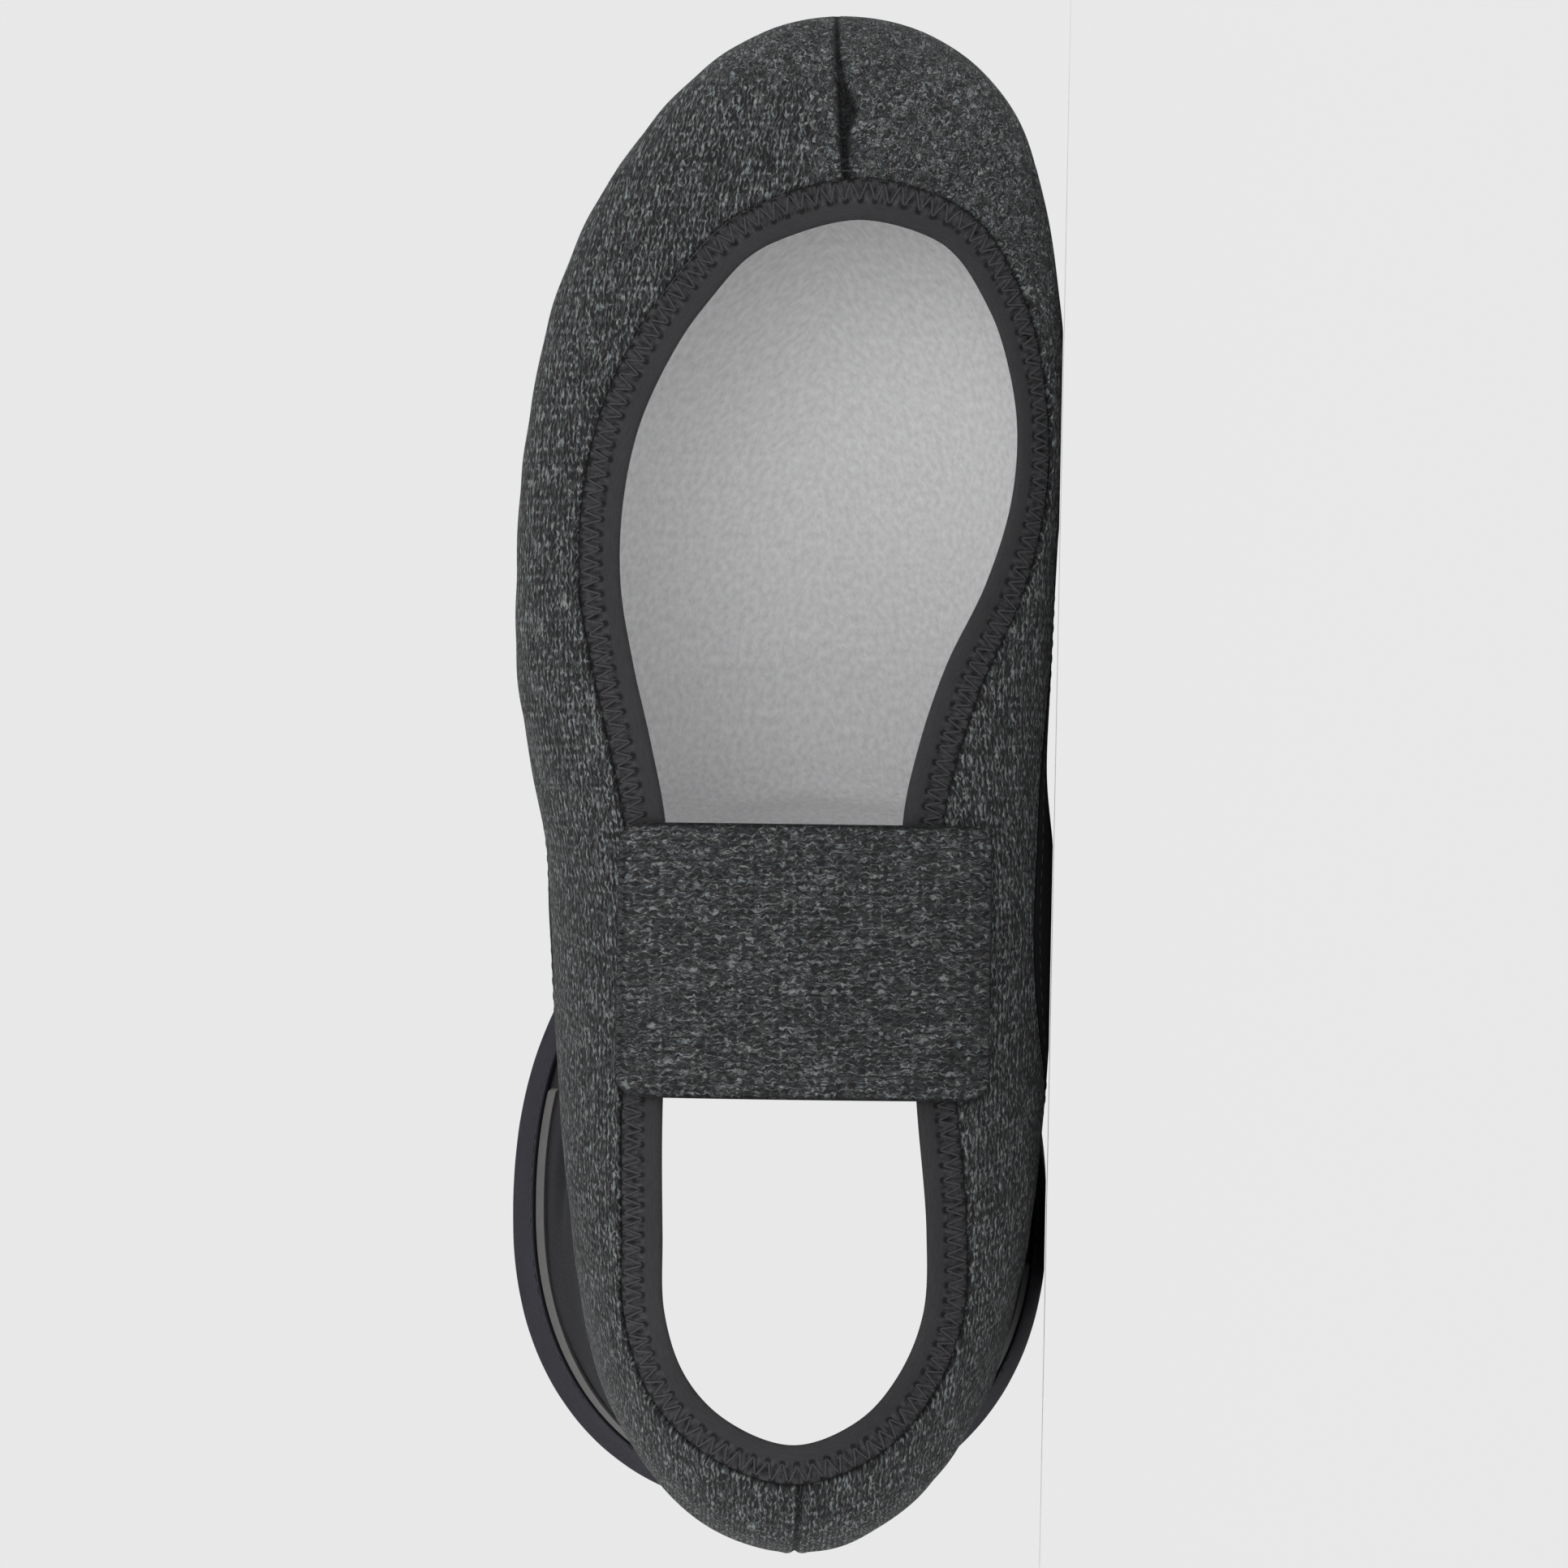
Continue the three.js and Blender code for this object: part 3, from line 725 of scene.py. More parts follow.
class Graph:
    """A short way to add nodes to a tree and to join them."""

    def __init__(self, tree: bpy.types.NodeTree) -> None:
        """Works on a node tree."""
        self.tree = tree

    def feed(self, socket: Socket, value: Value) -> None:
        """Joins a socket to an input, or sets the input to a plain value.

        Args:
            socket: the input.
            value: what it is fed with.
        """
        if isinstance(value, bpy.types.NodeSocket):
            self.tree.links.new(value, socket)
        else:
            socket.default_value = value

    def add(
        self, kind: str, settings: dict[str, object] | None = None, inputs: dict[str, Value] | None = None
    ) -> bpy.types.Node:
        """Adds a node.

        Args:
            kind: its type, without the word ShaderNode.
            settings: its own settings.
            inputs: what its input sockets are fed with.

        Returns:
            The node.
        """
        node = self.tree.nodes.new("ShaderNode" + kind)
        for name, value in (settings or {}).items():
            setattr(node, name, value)
        for name, value in (inputs or {}).items():
            self.feed(node.inputs[name], value)
        return node

    def calc(self, operation: str, *values: Value) -> Socket:
        """Adds a Math node.

        Args:
            operation: its operation.
            values: what its inputs are fed with.

        Returns:
            Its result.
        """
        node = self.add("Math", {"operation": operation})
        for socket, value in zip(node.inputs, values):
            self.feed(socket, value)
        return node.outputs[0]

    def blend(self, factor: Value, low: Value, high: Value, how: str = "MIX") -> Socket:
        """Mixes two colours.

        Args:
            factor: the share of the second one.
            low: the first colour.
            high: the second colour.
            how: the way of mixing.

        Returns:
            The mixed colour.
        """
        node = self.add("Mix", {"data_type": "RGBA", "blend_type": how})
        for index, value in ((0, factor), (6, low), (7, high)):
            self.feed(node.inputs[index], value)
        return node.outputs[2]

    def ease(self, value: Value, low: float, high: float, start: float = 0.0, end: float = 1.0) -> Socket:
        """A value eased from one range to another."""
        inputs = {"Value": value, "From Min": low, "From Max": high, "To Min": start, "To Max": end}
        return self.add("MapRange", {"interpolation_type": "SMOOTHSTEP"}, inputs).outputs[0]

    def noise(self, vector: Value, scale: float, detail: float = 2.0, kind: str = "3D") -> bpy.types.Node:
        """A noise texture."""
        inputs = {"Vector": vector, "Scale": scale, "Detail": detail}
        return self.add("TexNoise", {"noise_dimensions": kind}, inputs)

    def stretched(self, x: Value, y: Value, length: float, width: float) -> Socket:
        """Cloth lengths counted in steps of a length along and a width across."""
        inputs = {"X": self.calc("DIVIDE", x, length), "Y": self.calc("DIVIDE", y, width)}
        return self.add("CombineXYZ", None, inputs).outputs[0]

    def patches(self, x: Value, y: Value, length: float, width: float, detail: float) -> Socket:
        """Uneven patches of a length along the cloth and a width across it, from 0 to 1."""
        return self.noise(self.stretched(x, y, length, width), 1.0, detail, "2D").outputs[0]

    def swung(self, value: Value, amount: float, middle: Value) -> Socket:
        """Patches turned into a swing of an amount round a middle."""
        return self.calc("MULTIPLY_ADD", self.calc("SUBTRACT", value, 0.5), amount, middle)

    def dimmed(self, colour: Value, light: Value) -> Socket:
        """A colour multiplied by a light value."""
        grey = self.add("CombineColor", None, {"Red": light, "Green": light, "Blue": light}).outputs[0]
        return self.blend(1.0, colour, grey, "MULTIPLY")

    def cells(self, vector: Value, randomness: float) -> bpy.types.Node:
        """A texture of cells, one to a step."""
        inputs = {"Vector": vector, "Scale": 1.0, "Randomness": randomness}
        return self.add("TexVoronoi", {"voronoi_dimensions": "2D", "feature": "F1"}, inputs)

    def corner(self, name: str) -> Socket:
        """The vector that each corner keeps under a name."""
        return self.add("Attribute", {"attribute_name": name}).outputs["Vector"]

    def split(self, vector: Value) -> tuple[Socket, Socket, Socket]:
        """The three numbers of a vector."""
        return tuple(self.add("SeparateXYZ", None, {"Vector": vector}).outputs)


class GroupKind(Enum):
    """The effects that several finishes share."""

    HEATHER = "heathered_yarn"
    WEAVE = "fine_weave"
    NAP = "brushed_nap"
    # Lint specks, and a line of painted shade along edges, seams and stitches.
    LINT_AND_SHADE = "lint_and_painted_shade"


class Effects:
    """The shader node groups, each built once."""

    def __init__(self) -> None:
        """Builds every group."""
        self.trees: dict[GroupKind, bpy.types.NodeTree] = {}
        for make in (self.heather, self.weave, self.nap, self.lint):
            make()

    def place(self, graph: Graph, kind: GroupKind, inputs: dict[str, Value]) -> bpy.types.Node:
        """Adds a group to a material, with what its inputs are fed with."""
        return graph.add("Group", {"node_tree": self.trees[kind]}, inputs)

    def with_lint_and_shade(self, graph: Graph, colour: Socket, fold: float, lint: float) -> Socket:
        """A colour with lint on it and a line of painted shade along edges, seams and stitches.

        Args:
            graph: the material's graph.
            colour: the colour.
            fold: how wide the line of painted shade is.
            lint: how much lint.

        Returns:
            The new colour.
        """
        hem, seam, stitch = graph.split(graph.corner("marks"))
        edge = graph.calc("MINIMUM", graph.calc("MINIMUM", hem, seam), stitch)
        given = {"Cloth": graph.corner("cloth"), "Color": colour, "Edge": edge, "ShadeWidth": fold, "Amount": lint}
        return self.place(graph, GroupKind.LINT_AND_SHADE, given).outputs[0]

    def start(
        self, kind: GroupKind, inputs: dict[str, object], *outputs: str
    ) -> tuple[Graph, dict[str, Socket], bpy.types.NodeInputs]:
        """Makes a group with its sockets and nothing in it.

        Args:
            kind: which group.
            inputs: names and first values of its inputs.
            outputs: names of its outputs, "Color" for a colour.

        Returns:
            Its graph, its inputs and what takes its outputs, both by name.
        """
        tree = self.trees[kind] = bpy.data.node_groups.new(kind.value, "ShaderNodeTree")
        for title, value in inputs.items():
            sort = "NodeSocketFloat" if isinstance(value, float) else "NodeSocketColor"
            if isinstance(value, tuple) and len(value) == 3:
                sort = "NodeSocketVector"
            tree.interface.new_socket(title, in_out="INPUT", socket_type=sort).default_value = value
        for title in outputs:
            sort = "NodeSocketColor" if title == "Color" else "NodeSocketFloat"
            tree.interface.new_socket(title, in_out="OUTPUT", socket_type=sort)
        source, sink = (tree.nodes.new(node) for node in ("NodeGroupInput", "NodeGroupOutput"))
        return Graph(tree), {socket.name: socket for socket in source.outputs}, sink.inputs

    def heather(self) -> None:
        """Melange yarn: short streaks along the cloth, or curled loops where the share says so."""
        inputs = {
            "Cloth": (0.0, 0.0, 0.0),
            "Dark": (0.02, 0.02, 0.02, 1.0),
            "Middle": (0.06, 0.06, 0.06, 1.0),
            "Light": (0.17, 0.17, 0.17, 1.0),
            "Rows": 1.1,
        }
        g, given, sink = self.start(GroupKind.HEATHER, inputs, "Color", "Height")
        along, across, curl = g.split(given["Cloth"])
        flat = g.stretched(along, across, 1.0, 1.0)
        warp = g.split(g.noise(flat, 0.7, 2.0, "2D").outputs["Color"])
        reach = g.calc("MULTIPLY_ADD", curl, 2.6, 0.55)
        moved = [
            g.calc("MULTIPLY_ADD", g.calc("SUBTRACT", shift, 0.5), reach, place)
            for shift, place in zip(warp, (along, across))
        ]
        tones, heights = [], []
        for length, width, worm in ((1.6, 0.44, 1.7), (0.95, 0.58, 0.95)):
            ridge = g.noise(g.stretched(moved[0], moved[1], length * 1.25, width * worm), 1.0, 0.6, "2D")
            slope = g.calc("ABSOLUTE", g.calc("SUBTRACT", ridge.outputs[0], 0.5))
            yarn = g.ease(slope, 0.02, 0.15, 1.0, 0.0)
            cells = g.cells(g.stretched(moved[0], moved[1], length, width), 0.9)
            pick = g.add("SeparateColor", None, {"Color": cells.outputs["Color"]})
            # Painted shade: each yarn cell darkens towards its rim, as shade between the loops.
            body = g.ease(cells.outputs["Distance"], 0.15, 0.8, 1.0, 0.0)
            fleck = g.calc("MULTIPLY", g.calc("POWER", pick.outputs[0], 1.2), body)
            # Painted highlight: the raised yarn lines are painted lighter.
            painted_yarn_highlight = g.calc("MULTIPLY", yarn, g.calc("MULTIPLY_ADD", pick.outputs[1], 0.45, 0.25))
            tones.append(g.calc("MULTIPLY_ADD", body, 0.12, g.calc("MULTIPLY_ADD", fleck, 0.5, painted_yarn_highlight)))
            heights.append(g.calc("MULTIPLY_ADD", yarn, 0.6, g.calc("MULTIPLY", body, 0.4)))
        loops = g.ease(curl, 0.3, 0.7)
        tone, height = (
            g.add("Mix", {"data_type": "FLOAT"}, {"Factor": loops, "A": pair[0], "B": pair[1]}).outputs[0]
            for pair in (tones, heights)
        )
        # Painted shade: the grooves between the knit rows are darkened as well as lowered.
        gap = g.calc("COSINE", g.calc("DIVIDE", g.calc("MULTIPLY", moved[1], 2 * math.pi), given["Rows"]))
        gap = g.calc("MULTIPLY", g.ease(gap, -0.9, 0.3, 1.0, 0.0), g.ease(curl, 0.0, 0.9, 1.0, 0.15))
        fibre = g.patches(moved[0], moved[1], 0.8, 0.15, 3.0)
        clump = g.patches(along, across, 8.0, 4.0, 3.0)
        tone = g.calc("SUBTRACT", tone, g.calc("MULTIPLY", gap, 0.23))
        tone = g.swung(clump, 0.28, g.swung(fibre, 1.1, tone))
        low = g.blend(g.ease(tone, 0.0, 0.52), given["Dark"], given["Middle"])
        yarn = g.blend(g.ease(tone, 0.42, 0.98), low, given["Light"])
        tint = g.patches(along, across, 3.5, 1.6, 1.0)
        cool = g.blend(g.ease(tint, 0.35, 0.65), (1.04, 1.0, 0.97, 1.0), (0.97, 1.0, 1.02, 1.0))
        g.feed(sink["Color"], g.blend(1.0, yarn, cool, "MULTIPLY"))
        height = g.calc("SUBTRACT", height, g.calc("MULTIPLY", gap, 0.5))
        g.feed(sink["Height"], g.calc("MULTIPLY_ADD", fibre, 0.4, height))

    def weave(self) -> None:
        """Fine threads that cross, with slubs and soft unevenness."""
        inputs = {"Cloth": (0.0, 0.0, 0.0), "Pitch": 0.45, "Color": (0.04, 0.04, 0.05, 1.0)}
        g, given, sink = self.start(GroupKind.WEAVE, inputs, "Color", "Height")
        along, across, _ = g.split(given["Cloth"])
        turns = g.calc("DIVIDE", 2 * math.pi, given["Pitch"])
        warp = g.calc("SINE", g.calc("MULTIPLY", g.calc("ADD", along, across), turns))
        weft = g.calc("SINE", g.calc("MULTIPLY", g.calc("SUBTRACT", along, across), turns))
        rows = g.calc("MAXIMUM", warp, weft)
        slub = g.patches(along, across, 2.6, 0.35, 3.0)
        broad = g.patches(along, across, 22.0, 16.0, 3.0)
        light = g.swung(broad, 0.35, g.swung(slub, 0.5, 1.0))
        # Painted highlight and shade: the crowns of the crossing threads are a little lighter than the
        # hollows between them.
        light = g.calc("MULTIPLY_ADD", rows, 0.06, light)
        g.feed(sink["Color"], g.dimmed(given["Color"], light))
        g.feed(sink["Height"], g.calc("MULTIPLY_ADD", slub, 0.6, g.calc("MULTIPLY", rows, 0.3)))

    def nap(self) -> None:
        """Brushed fibres in small tufts, for the lining."""
        inputs = {"Cloth": (0.0, 0.0, 0.0), "Color": (0.5, 0.5, 0.5, 1.0)}
        g, given, sink = self.start(GroupKind.NAP, inputs, "Color", "Height")
        along, across, _ = g.split(given["Cloth"])
        tufts = g.patches(along, across, 1.6, 1.2, 4.0)
        hairs = g.patches(along, across, 0.8, 0.14, 3.0)
        g.feed(sink["Color"], g.dimmed(given["Color"], g.swung(hairs, 0.25, g.swung(tufts, 0.4, 1.0))))
        g.feed(sink["Height"], g.calc("MULTIPLY_ADD", tufts, 0.8, g.calc("MULTIPLY", hairs, 0.3)))

    def lint(self) -> None:
        """A few light fibres on top, and a line of painted shade where an edge or a seam turns in."""
        inputs = {
            "Cloth": (0.0, 0.0, 0.0),
            "Color": (0.1, 0.1, 0.1, 1.0),
            "Edge": FAR,
            "ShadeWidth": 0.9,
            "Amount": 0.5,
        }
        g, given, sink = self.start(GroupKind.LINT_AND_SHADE, inputs, "Color")
        along, across, _ = g.split(given["Cloth"])
        bent = g.noise(g.stretched(along, across, 3.0, 3.0), 1.0, 1.0, "2D").outputs["Color"]
        flat = g.stretched(along, across, 5.0, 5.0)
        loose = g.add("VectorMath", {"operation": "MULTIPLY_ADD"})
        for socket, value in zip(loose.inputs, (bent, (0.5, 0.5, 0.0), flat)):
            g.feed(socket, value)
        cells = g.cells(loose.outputs[0], 1.0)
        speck = g.ease(cells.outputs["Distance"], 0.03, 0.07, 1.0, 0.0)
        pick = g.add("SeparateColor", None, {"Color": cells.outputs["Color"]}).outputs[0]
        speck = g.calc("MULTIPLY", g.calc("MULTIPLY", speck, g.ease(pick, 0.55, 0.75)), given["Amount"])
        dusty = g.blend(speck, given["Color"], (0.3, 0.3, 0.3, 1.0))
        # Painted shade: the colour is darkened near edges, seams, stitches and the toe dart, where shade
        # falls.
        turned = g.calc("DIVIDE", given["Edge"], given["ShadeWidth"])
        dark = g.blend(1.0, dusty, (0.16, 0.16, 0.17, 1.0), "MULTIPLY")
        g.feed(sink["Color"], g.blend(g.ease(turned, 0.0, 1.0), dark, dusty))


def display(red: float, green: float, blue: float) -> Colour:
    """A colour as it looks on a screen, from 0 to 255, in the renderer's linear scale."""
    shares = (value / 255 for value in (red, green, blue))
    return (*(s / 12.92 if s <= 0.04045 else ((s + 0.055) / 1.055) ** 2.4 for s in shares), 1.0)


@dataclass(frozen=True)
class Surface:
    """The fixed numbers of a fabric's shader."""

    roughness: float
    sheen: float
    sheen_roughness: float
    specular: float
    relief: float

    def shade(self, graph: Graph, colour: Value, height: Value, roughness: Value | None = None) -> None:
        """Adds the shader and joins it to the material's output.

        Args:
            graph: the material's graph.
            colour: its base colour.
            height: its relief, as a share of the surface's own.
            roughness: a roughness that changes over the surface, if it does.
        """
        depth = self.relief * MILLIMETRE
        bump = graph.add("Bump", None, {"Strength": 1.0, "Distance": depth, "Height": height})
        shader = graph.add(
            "BsdfPrincipled",
            None,
            {
                "Base Color": colour,
                "Roughness": self.roughness if roughness is None else roughness,
                "Sheen Weight": self.sheen,
                "Sheen Roughness": self.sheen_roughness,
                "Specular IOR Level": self.specular,
                "Normal": bump.outputs[0],
            },
        )
        sink = graph.add("OutputMaterial")
        graph.feed(sink.inputs["Surface"], shader.outputs[0])


def fresh_material(name: str) -> tuple[bpy.types.Material, Graph]:
    """Starts a material.

    Args:
        name: its name.

    Returns:
        The empty material and its graph.
    """
    material = bpy.data.materials.new(name)
    material.use_nodes = True
    material.node_tree.nodes.clear()
    return material, Graph(material.node_tree)


@dataclass(frozen=True)
class KnitFinish:
    """Heathered charcoal knit."""

    name: str
    dark: Colour
    middle: Colour
    light: Colour
    rows: float
    # fold: how wide the line of painted shade along edges, seams and the dart is.
    fold: float = 1.0
    lint: float = 0.15
    surface: Surface = Surface(0.92, 0.06, 0.55, 0.2, 0.3)

    def material(self, effects: Effects) -> bpy.types.Material:
        """The finish as a material.

        Args:
            effects: the groups that it is made with.

        Returns:
            The material.
        """
        made, g = fresh_material(self.name)
        tones = {"Dark": self.dark, "Middle": self.middle, "Light": self.light}
        given = {"Cloth": g.corner("cloth"), "Rows": self.rows, **tones}
        yarn = effects.place(g, GroupKind.HEATHER, given)
        with_lint_and_shade = effects.with_lint_and_shade(g, yarn.outputs["Color"], self.fold, self.lint)
        self.surface.shade(g, with_lint_and_shade, yarn.outputs["Height"])
        return made


@dataclass(frozen=True)
class WovenFinish:
    """Smooth fabric with a fine weave, for softshell, elastic and tape."""

    name: str
    colour: Colour
    pitch: float
    # fold: how wide the line of painted shade along edges and seams is.
    fold: float
    surface: Surface
    unevenness: float = 0.08

    def material(self, effects: Effects) -> bpy.types.Material:
        """The finish as a material.

        Args:
            effects: the groups that it is made with.

        Returns:
            The material.
        """
        made, g = fresh_material(self.name)
        given = {"Cloth": g.corner("cloth"), "Pitch": self.pitch, "Color": self.colour}
        weave = effects.place(g, GroupKind.WEAVE, given)
        with_lint_and_shade = effects.with_lint_and_shade(g, weave.outputs["Color"], self.fold, 0.0)
        high, low = self.surface.roughness + self.unevenness, self.surface.roughness - self.unevenness
        uneven = g.ease(weave.outputs["Height"], 0.0, 0.9, high, low)
        self.surface.shade(g, with_lint_and_shade, weave.outputs["Height"], uneven)
        return made


@dataclass(frozen=True)
class ElasticFinish:
    """Matte elastic tape with rows of needle holes under its zigzag."""

    name: str = "elastic_face"
    colour: Colour = display(55, 54, 56)
    weave_pitch: float = 0.6
    surface: Surface = Surface(0.82, 0.03, 0.5, 0.2, 0.12)

    def material(self, effects: Effects) -> bpy.types.Material:
        """The finish as a material.

        Args:
            effects: the groups that it is made with.

        Returns:
            The material.
        """
        made, g = fresh_material(self.name)
        cloth = g.corner("cloth")
        along, across, _ = g.split(cloth)
        given = {"Cloth": cloth, "Pitch": self.weave_pitch, "Color": self.colour}
        weave = effects.place(g, GroupKind.WEAVE, given)
        strokes = g.patches(along, across, 0.8, 2.2, 3.0)
        sewn = g.calc("MULTIPLY", g.ease(across, 2.6, 3.8), g.calc("SUBTRACT", strokes, 0.5))
        face = g.dimmed(weave.outputs["Color"], g.calc("MULTIPLY_ADD", sewn, 3.2, 1.0))
        pits = []
        for line, shift in zip(ZIGZAG_LINES, (0.5, 0.0)):
            step = g.calc("FRACT", g.calc("ADD", g.calc("DIVIDE", along, ZIGZAG_PITCH), shift))
            aside = g.calc("MULTIPLY", g.calc("SUBTRACT", step, 0.5), ZIGZAG_PITCH)
            off = g.calc("SUBTRACT", across, line)
            square = g.calc("ADD", g.calc("MULTIPLY", aside, aside), g.calc("MULTIPLY", off, off))
            away = g.calc("SQRT", square)
            pits.append(g.ease(away, 0.3, 0.85, 1.0, 0.0))
        pit = g.calc("MAXIMUM", *pits)
        # Painted shade: the needle holes are darkened nearly to black, as well as sunk.
        colour = g.blend(g.calc("MULTIPLY", pit, 0.85), face, (0.006, 0.006, 0.006, 1.0))
        height = g.calc("SUBTRACT", weave.outputs["Height"], g.calc("MULTIPLY", pit, 2.0))
        self.surface.shade(g, colour, g.calc("ADD", height, g.calc("MULTIPLY", sewn, 3.0)))
        return made


@dataclass(frozen=True)
class LiningFinish:
    """Pale brushed lining."""

    name: str = "brushed_lining"
    colour: Colour = display(240, 240, 241)
    cut_edge: Colour = display(42, 42, 44)
    surface: Surface = Surface(0.95, 0.3, 0.6, 0.2, 0.35)

    def material(self, effects: Effects) -> bpy.types.Material:
        """The finish as a material.

        Args:
            effects: the groups that it is made with.

        Returns:
            The material.
        """
        made, g = fresh_material(self.name)
        nap = effects.place(g, GroupKind.NAP, {"Cloth": g.corner("cloth"), "Color": self.colour})
        hem, seam, _ = g.split(g.corner("marks"))
        inside = g.ease(g.calc("MINIMUM", hem, seam), 1.1, 1.5)
        self.surface.shade(g, g.blend(inside, self.cut_edge, nap.outputs[0]), nap.outputs["Height"])
        return made


@dataclass(frozen=True)
class ThreadFinish:
    """Twisted sewing thread."""

    name: str
    colour: Colour
    twist: float = 0.55
    surface: Surface = Surface(0.6, 0.1, 0.5, 0.35, 0.06)

    def material(self, effects: Effects) -> bpy.types.Material:
        """The finish as a material.

        Args:
            effects: the groups that it is made with.

        Returns:
            The material.
        """
        made, g = fresh_material(self.name)
        along, around, _ = g.split(g.corner("cloth"))
        slope = g.calc("MULTIPLY", g.calc("ADD", along, around), 2 * math.pi / self.twist)
        ply = g.calc("MULTIPLY_ADD", g.calc("SINE", slope), 0.5, 0.5)
        # Painted shade and highlight: a darker copy of the colour in the twist's grooves, a lighter one on
        # its crests.
        shade = g.blend(ply, scaled(self.colour, 0.72), scaled(self.colour, 1.2))
        self.surface.shade(g, shade, ply)
        return made


def scaled(colour: Colour, factor: float) -> Colour:
    """A colour made lighter or darker by a factor."""
    return (colour[0] * factor, colour[1] * factor, colour[2] * factor, 1.0)


@dataclass
class Finishes:
    """Every material of the overshoe."""

    knit: bpy.types.Material
    bridge: bpy.types.Material
    softshell: bpy.types.Material
    cuff: bpy.types.Material
    elastic: bpy.types.Material
    tape: bpy.types.Material
    lining: bpy.types.Material
    zigzag: bpy.types.Material
    topstitch: bpy.types.Material

    @classmethod
    def make(cls) -> "Finishes":
        """Builds them all.

        Returns:
            The materials.
        """
        effects = Effects()
        smooth = Surface(0.68, 0.0, 0.35, 0.09, 0.07)
        satin = Surface(0.5, 0.0, 0.5, 0.3, 0.03)
        body_tones = display(33, 33, 34), display(69, 71, 72), display(134, 139, 140)
        bridge_tones = display(31, 32, 33), display(64, 66, 67), display(128, 132, 133)
        shell, fold = display(31, 31, 35), display(38, 38, 47)
        finishes = {
            "knit": KnitFinish("heathered_knit", *body_tones, 1.05),
            "bridge": KnitFinish("bridge_knit", *bridge_tones, 1.4),
            "softshell": WovenFinish("softshell_face", shell, 0.5, 0.8, smooth),
            "cuff": WovenFinish("cuff_face", fold, 0.5, 0.5, smooth),
            "elastic": ElasticFinish(),
            "tape": WovenFinish("reflective_tape", display(76, 74, 73), 0.3, 0.25, satin),
            "lining": LiningFinish(),
            "zigzag": ThreadFinish("zigzag_thread", display(65, 63, 68)),
            "topstitch": ThreadFinish("topstitch_thread", display(50, 50, 56)),
        }
        return cls(**{name: finish.material(effects) for name, finish in finishes.items()})


@dataclass
class Workshop:
    """What every sub-assembly is made with."""

    last: LastForm
    fabric: Fabric
    cutout: CutOut
    seam: SeamLine
    laying: Laying
    finishes: Finishes

    def finish(
        self, name: str, cloth: Cloth, materials: Sequence[bpy.types.Material], slot: str, *nodes: str
    ) -> None:
        """Makes a piece of a cloth, hangs it on the body and hides the parts that it stands for.

        Args:
            name: the piece's name.
            cloth: its mesh.
            materials: its materials, in the order of the mesh's slots.
            slot: a material slot's name; not used.
            nodes: the nodes that it stands for.
        """
        piece = cloth.build(name, self.laying, materials)
        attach(piece, BODY)
        if nodes:
            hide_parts(*nodes)
        triangles = sum(len(face.vertices) - 2 for face in piece.data.polygons)
        LOG.info("%s: %d triangles", piece.name, triangles)


@dataclass
class HalfStrip:
    """Places on one side of the last: rows run round it, columns along it."""

    k: Array
    turn: Array
    along: Array
    across: Array


@dataclass
class Rows:
    """Where the rows of a mesh lie along the last, and the cloth length up to each."""

    last: LastForm
    pitch: float = 1.15
    measured_turn: float = 0.12

    def spaced(self, start: float, end: float, special: Sequence[float]) -> Array:
        """Rows at even steps, with close ones round special places.

        Args:
            start: first place k.
            end: last place k.
            special: places that need close rows.

        Returns:
            The rows in order.
        """
        stops = np.linspace(start, end, 3000)
        reached = lengths_along(self.last.point(stops, np.zeros_like(stops)))
        even = np.linspace(0, reached[-1], max(2, int(reached[-1] / self.pitch)))
        close = np.array([0.06, 0.15, 0.3, 0.5, 0.8, 1.2, 1.7, 2.4, 3.2])
        offsets = np.concatenate([-close[::-1], [0], close])
        marked = [np.interp(place, stops, reached) + offsets for place in special]
        every = np.unique(np.clip(np.concatenate([even, *marked]), 0, reached[-1]))
        fixed = [float(np.interp(place, stops, reached)) for place in special]
        kept = [every[0]]
        for value in every[1:]:
            near = any(abs(value - f) < 1e-9 for f in fixed)
            if value - kept[-1] > 0.05 or value == every[-1]:
                kept.append(value)
            elif near:
                kept[-1] = value
        rows = np.interp(kept, reached, stops)
        for place in special:
            if start <= place <= end:
                rows[np.argmin(np.abs(rows - place))] = place
        return rows

    def lengths(self, rows: Array) -> Array:
        """Cloth length from the toe tip to each row, along the lower side."""
        stops = np.linspace(0, self.last.last_row, 2900)
        return np.interp(rows, stops, lengths_along(self.last.point(stops, self.measured_turn)))

    def strip(self, side: int, rows: Array, starts: Array, ends: Array, columns: int) -> HalfStrip:
        """A half strip between two edges.

        Args:
            side: 1 for the inner side, -1 for the outer side.
            rows: places k of its rows.
            starts: the turn of its lower edge at each row, signed.
            ends: the turn of its upper edge at each row, without its sign.
            columns: how many columns.

        Returns:
            The strip, with its columns close together at both edges.
        """
        t = np.arange(columns) / (columns - 1)
        shares = t - 0.88 * np.sin(2 * np.pi * t) / (2 * np.pi)
        turns, across = [], []
        for k, start, end in zip(rows, starts, ends):
            samples, lengths, _ = self.last.girth(k, side)
            first = side * start
            low = math.copysign(np.interp(abs(first), samples, lengths), first)
            high = np.interp(end, samples, lengths)
            places = low + shares * (high - low)
            turn = side * np.copysign(np.interp(np.abs(places), lengths, samples), places)
            turn[0], turn[-1] = start, side * end
            turns.append(turn)
            across.append(side * places)
        k, _ = np.meshgrid(rows, t, indexing="ij")
        along, _ = np.meshgrid(self.lengths(rows), t, indexing="ij")
        return HalfStrip(k, np.array(turns), along, np.array(across))


def vectors(*parts: Array | float) -> Array:
    """Three numbers side by side as vectors."""
    return np.stack(np.broadcast_arrays(*(np.asarray(part, float) for part in parts)), -1)


